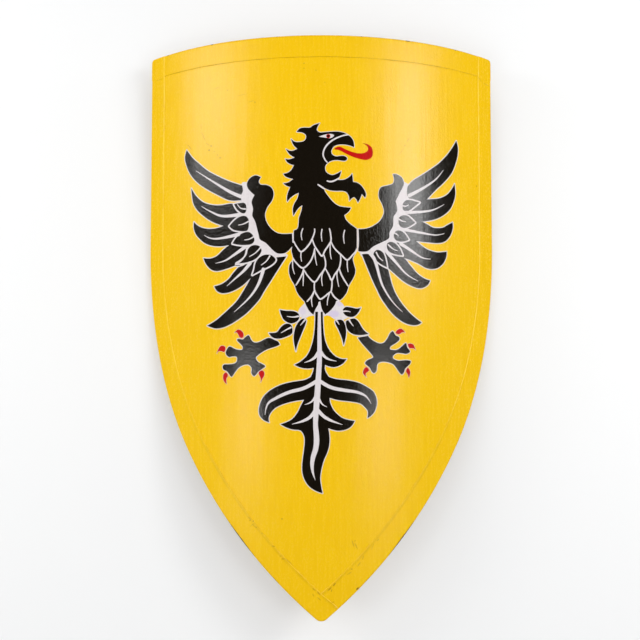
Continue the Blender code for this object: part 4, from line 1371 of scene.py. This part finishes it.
# Stage: a pale floor that sweeps up far away, soft lights, and the camera.
stage = {
    "floorRings": (0.001, 0.6, 1.2, 2.0),
    "floorRadius": 3.2,
    "sweep": 1.4,
    "wallTop": 3.6,
    "floorColour": (0.715, 0.715, 0.715),
    "cloudShade": 0.99,
    "floorRough": 0.85,
    "floorShine": 0.2,
    "floorGlow": (0.135, 0.138, 0.140),  # the lit-from-behind share of a studio table
    "worldLight": 0.14,
    "lens": 50.46,
    "sensor": 36.0,
    "shift": -0.002,
    "cameraAway": 1.2,  # metres from the crown of the shield
    "cameraLean": 3.0,  # degrees that the shield leans away from square on
    "lookAt": -111.1,  # flat millimetres along the crown
    "lightAt": -60.0,
    "crown": 1.0,  # how far the painted surface stands off the bend radius
}


# The floor: circles of growing radius, then a quarter circle up to a wall.
def makeFloor():
    turn = np.linspace(0.0, math.pi / 2, 12)
    rings, sweep = np.array(stage["floorRings"]), stage["sweep"]
    wall = stage["floorRadius"] + sweep
    radius = np.concatenate((rings, stage["floorRadius"] + sweep * np.sin(turn), (wall,)))
    height = np.concatenate((0.0 * rings, sweep * (1 - np.cos(turn)), (stage["wallTop"],)))
    angle = np.linspace(0.0, 2 * math.pi, 96, endpoint=False)
    x, y = radius[:, None] * np.cos(angle), radius[:, None] * np.sin(angle)
    points = np.stack(np.broadcast_arrays(x, y, height[:, None]), axis=-1)
    mesh = bpy.data.meshes.new("floor")
    faces = gridFaces(len(radius), len(angle), wrapped=True) + [list(range(len(angle)))]
    mesh.from_pydata(points.reshape(-1, 3).tolist(), [], faces)
    mesh.shade_smooth()
    floor = bpy.data.objects.new("floor", mesh)
    bpy.context.scene.collection.objects.link(floor)
    material, tree, shader = newMaterial("pale floor")
    cloud = noiseOf(tree, node(tree, "TexCoord").outputs["Object"], (0.8, 0.8, 0.8), 3.0, 0.5)
    pale = stage["floorColour"]
    feed(tree, shader, {
        "Base Color": blended(tree, cloud, pale, tuple(part * stage["cloudShade"] for part in pale)),
        "Roughness": stage["floorRough"], "Specular IOR Level": stage["floorShine"],
        "Emission Color": (*stage["floorGlow"], 1.0), "Emission Strength": 1.0,
    })
    mesh.materials.append(material)
    floor.visible_glossy = False  # as with black flags, the gloss shows the softboxes only


# A place beside the shield: turned from straight up by degrees sideways and along, at a distance in metres.
def lightPlace(sideways, along, away):
    a, b = math.radians(sideways), math.radians(along)
    direction = Vector((math.sin(a) * math.cos(b), math.sin(b), math.cos(a) * math.cos(b)))
    direction = Matrix.Rotation(tilt, 3, "X") @ direction
    centre = Vector(toPlace(np.array(((0.0, stage["lightAt"], 0.0),)))[0])
    return centre + direction * away, direction


# Each light: degrees sideways and along, metres away, wide and tall, its brightness, and whether gloss shows it.
lights = {
    "left top softbox, wide": (-58.0, 22.0, 1.9, 1.04, 0.54, 3.05, True),
    "left top softbox, narrow": (-61.5, 24.0, 1.9, 0.84, 0.46, 3.9, True),
    "left low softbox": (-41.0, -8.5, 1.9, 0.54, 0.42, 5.6, True),
    "right top softbox, wide": (46.8, 18.0, 1.9, 0.76, 0.76, 4.3, True),
    "right top softbox, narrow": (50.8, 18.0, 1.9, 0.56, 0.76, 5.3, True),
    "right low softbox": (33.5, -9.0, 1.9, 0.60, 0.42, 5.2, True),
    "left wall": (-78.0, 0.0, 2.4, 0.9, 2.4, 2.2, False),
    "right wall": (78.0, 0.0, 2.4, 0.9, 2.4, 0.95, False),
    "overhead": (0.0, 0.0, 2.4, 3.6, 3.6, 0.82, False),
}


# A rectangular light that faces the shield. Its power is its brightness x pi x wide x tall.
def softLight(name, sideways, along, away, wide, tall, strength, glossy):
    lamp = bpy.data.lights.new(name, "AREA")
    lamp.shape = "RECTANGLE"
    lamp.size, lamp.size_y = wide, tall
    lamp.energy = strength * math.pi * wide * tall
    light = bpy.data.objects.new(name, lamp)
    bpy.context.scene.collection.objects.link(light)
    light.location, facing = lightPlace(sideways, along, away)
    side = Vector((0.0, 1.0, 0.0)).cross(facing).normalized()
    light.rotation_euler = Matrix((side, facing.cross(side), facing)).transposed().to_euler()
    light.visible_camera = False
    light.visible_glossy = glossy


# All the lights, and a little even light from the world.
def makeLights():
    for name, sizes in lights.items():
        softLight(name, *sizes)
    world = bpy.data.worlds.new("studio")
    world.use_nodes = True
    glow = {"Color": (1.0, 1.0, 1.0, 1.0), "Strength": stage["worldLight"]}
    feed(world.node_tree, world.node_tree.nodes["Background"], glow)
    world.cycles_visibility.glossy = False
    bpy.context.scene.world = world


# The camera looks square at a shield that leans by cameraLean: it stands off the crown along the leaned normal.
def makeCamera():
    lean = math.radians(stage["cameraLean"])
    crown = board["bendRadius"] + stage["crown"]
    away = stage["cameraAway"] * 1000
    target = np.array(((0.0, stage["lookAt"], crown),))
    place = target + np.array(((0.0, -away * math.sin(lean), away * math.cos(lean)),))
    target, place = Vector(lay(target)[0]), Vector(lay(place)[0])
    data = bpy.data.cameras.new("camera")
    data.lens, data.sensor_width, data.shift_x = stage["lens"], stage["sensor"], stage["shift"]
    camera = bpy.data.objects.new("camera", data)
    bpy.context.scene.collection.objects.link(camera)
    camera.location = place
    camera.rotation_euler = (place - target).to_track_quat("Z", "Y").to_euler()
    bpy.context.scene.camera = camera


makeFloor()
makeLights()
makeCamera()
bpy.context.scene.view_settings.view_transform = "Standard"
print("stage, lights and camera made")
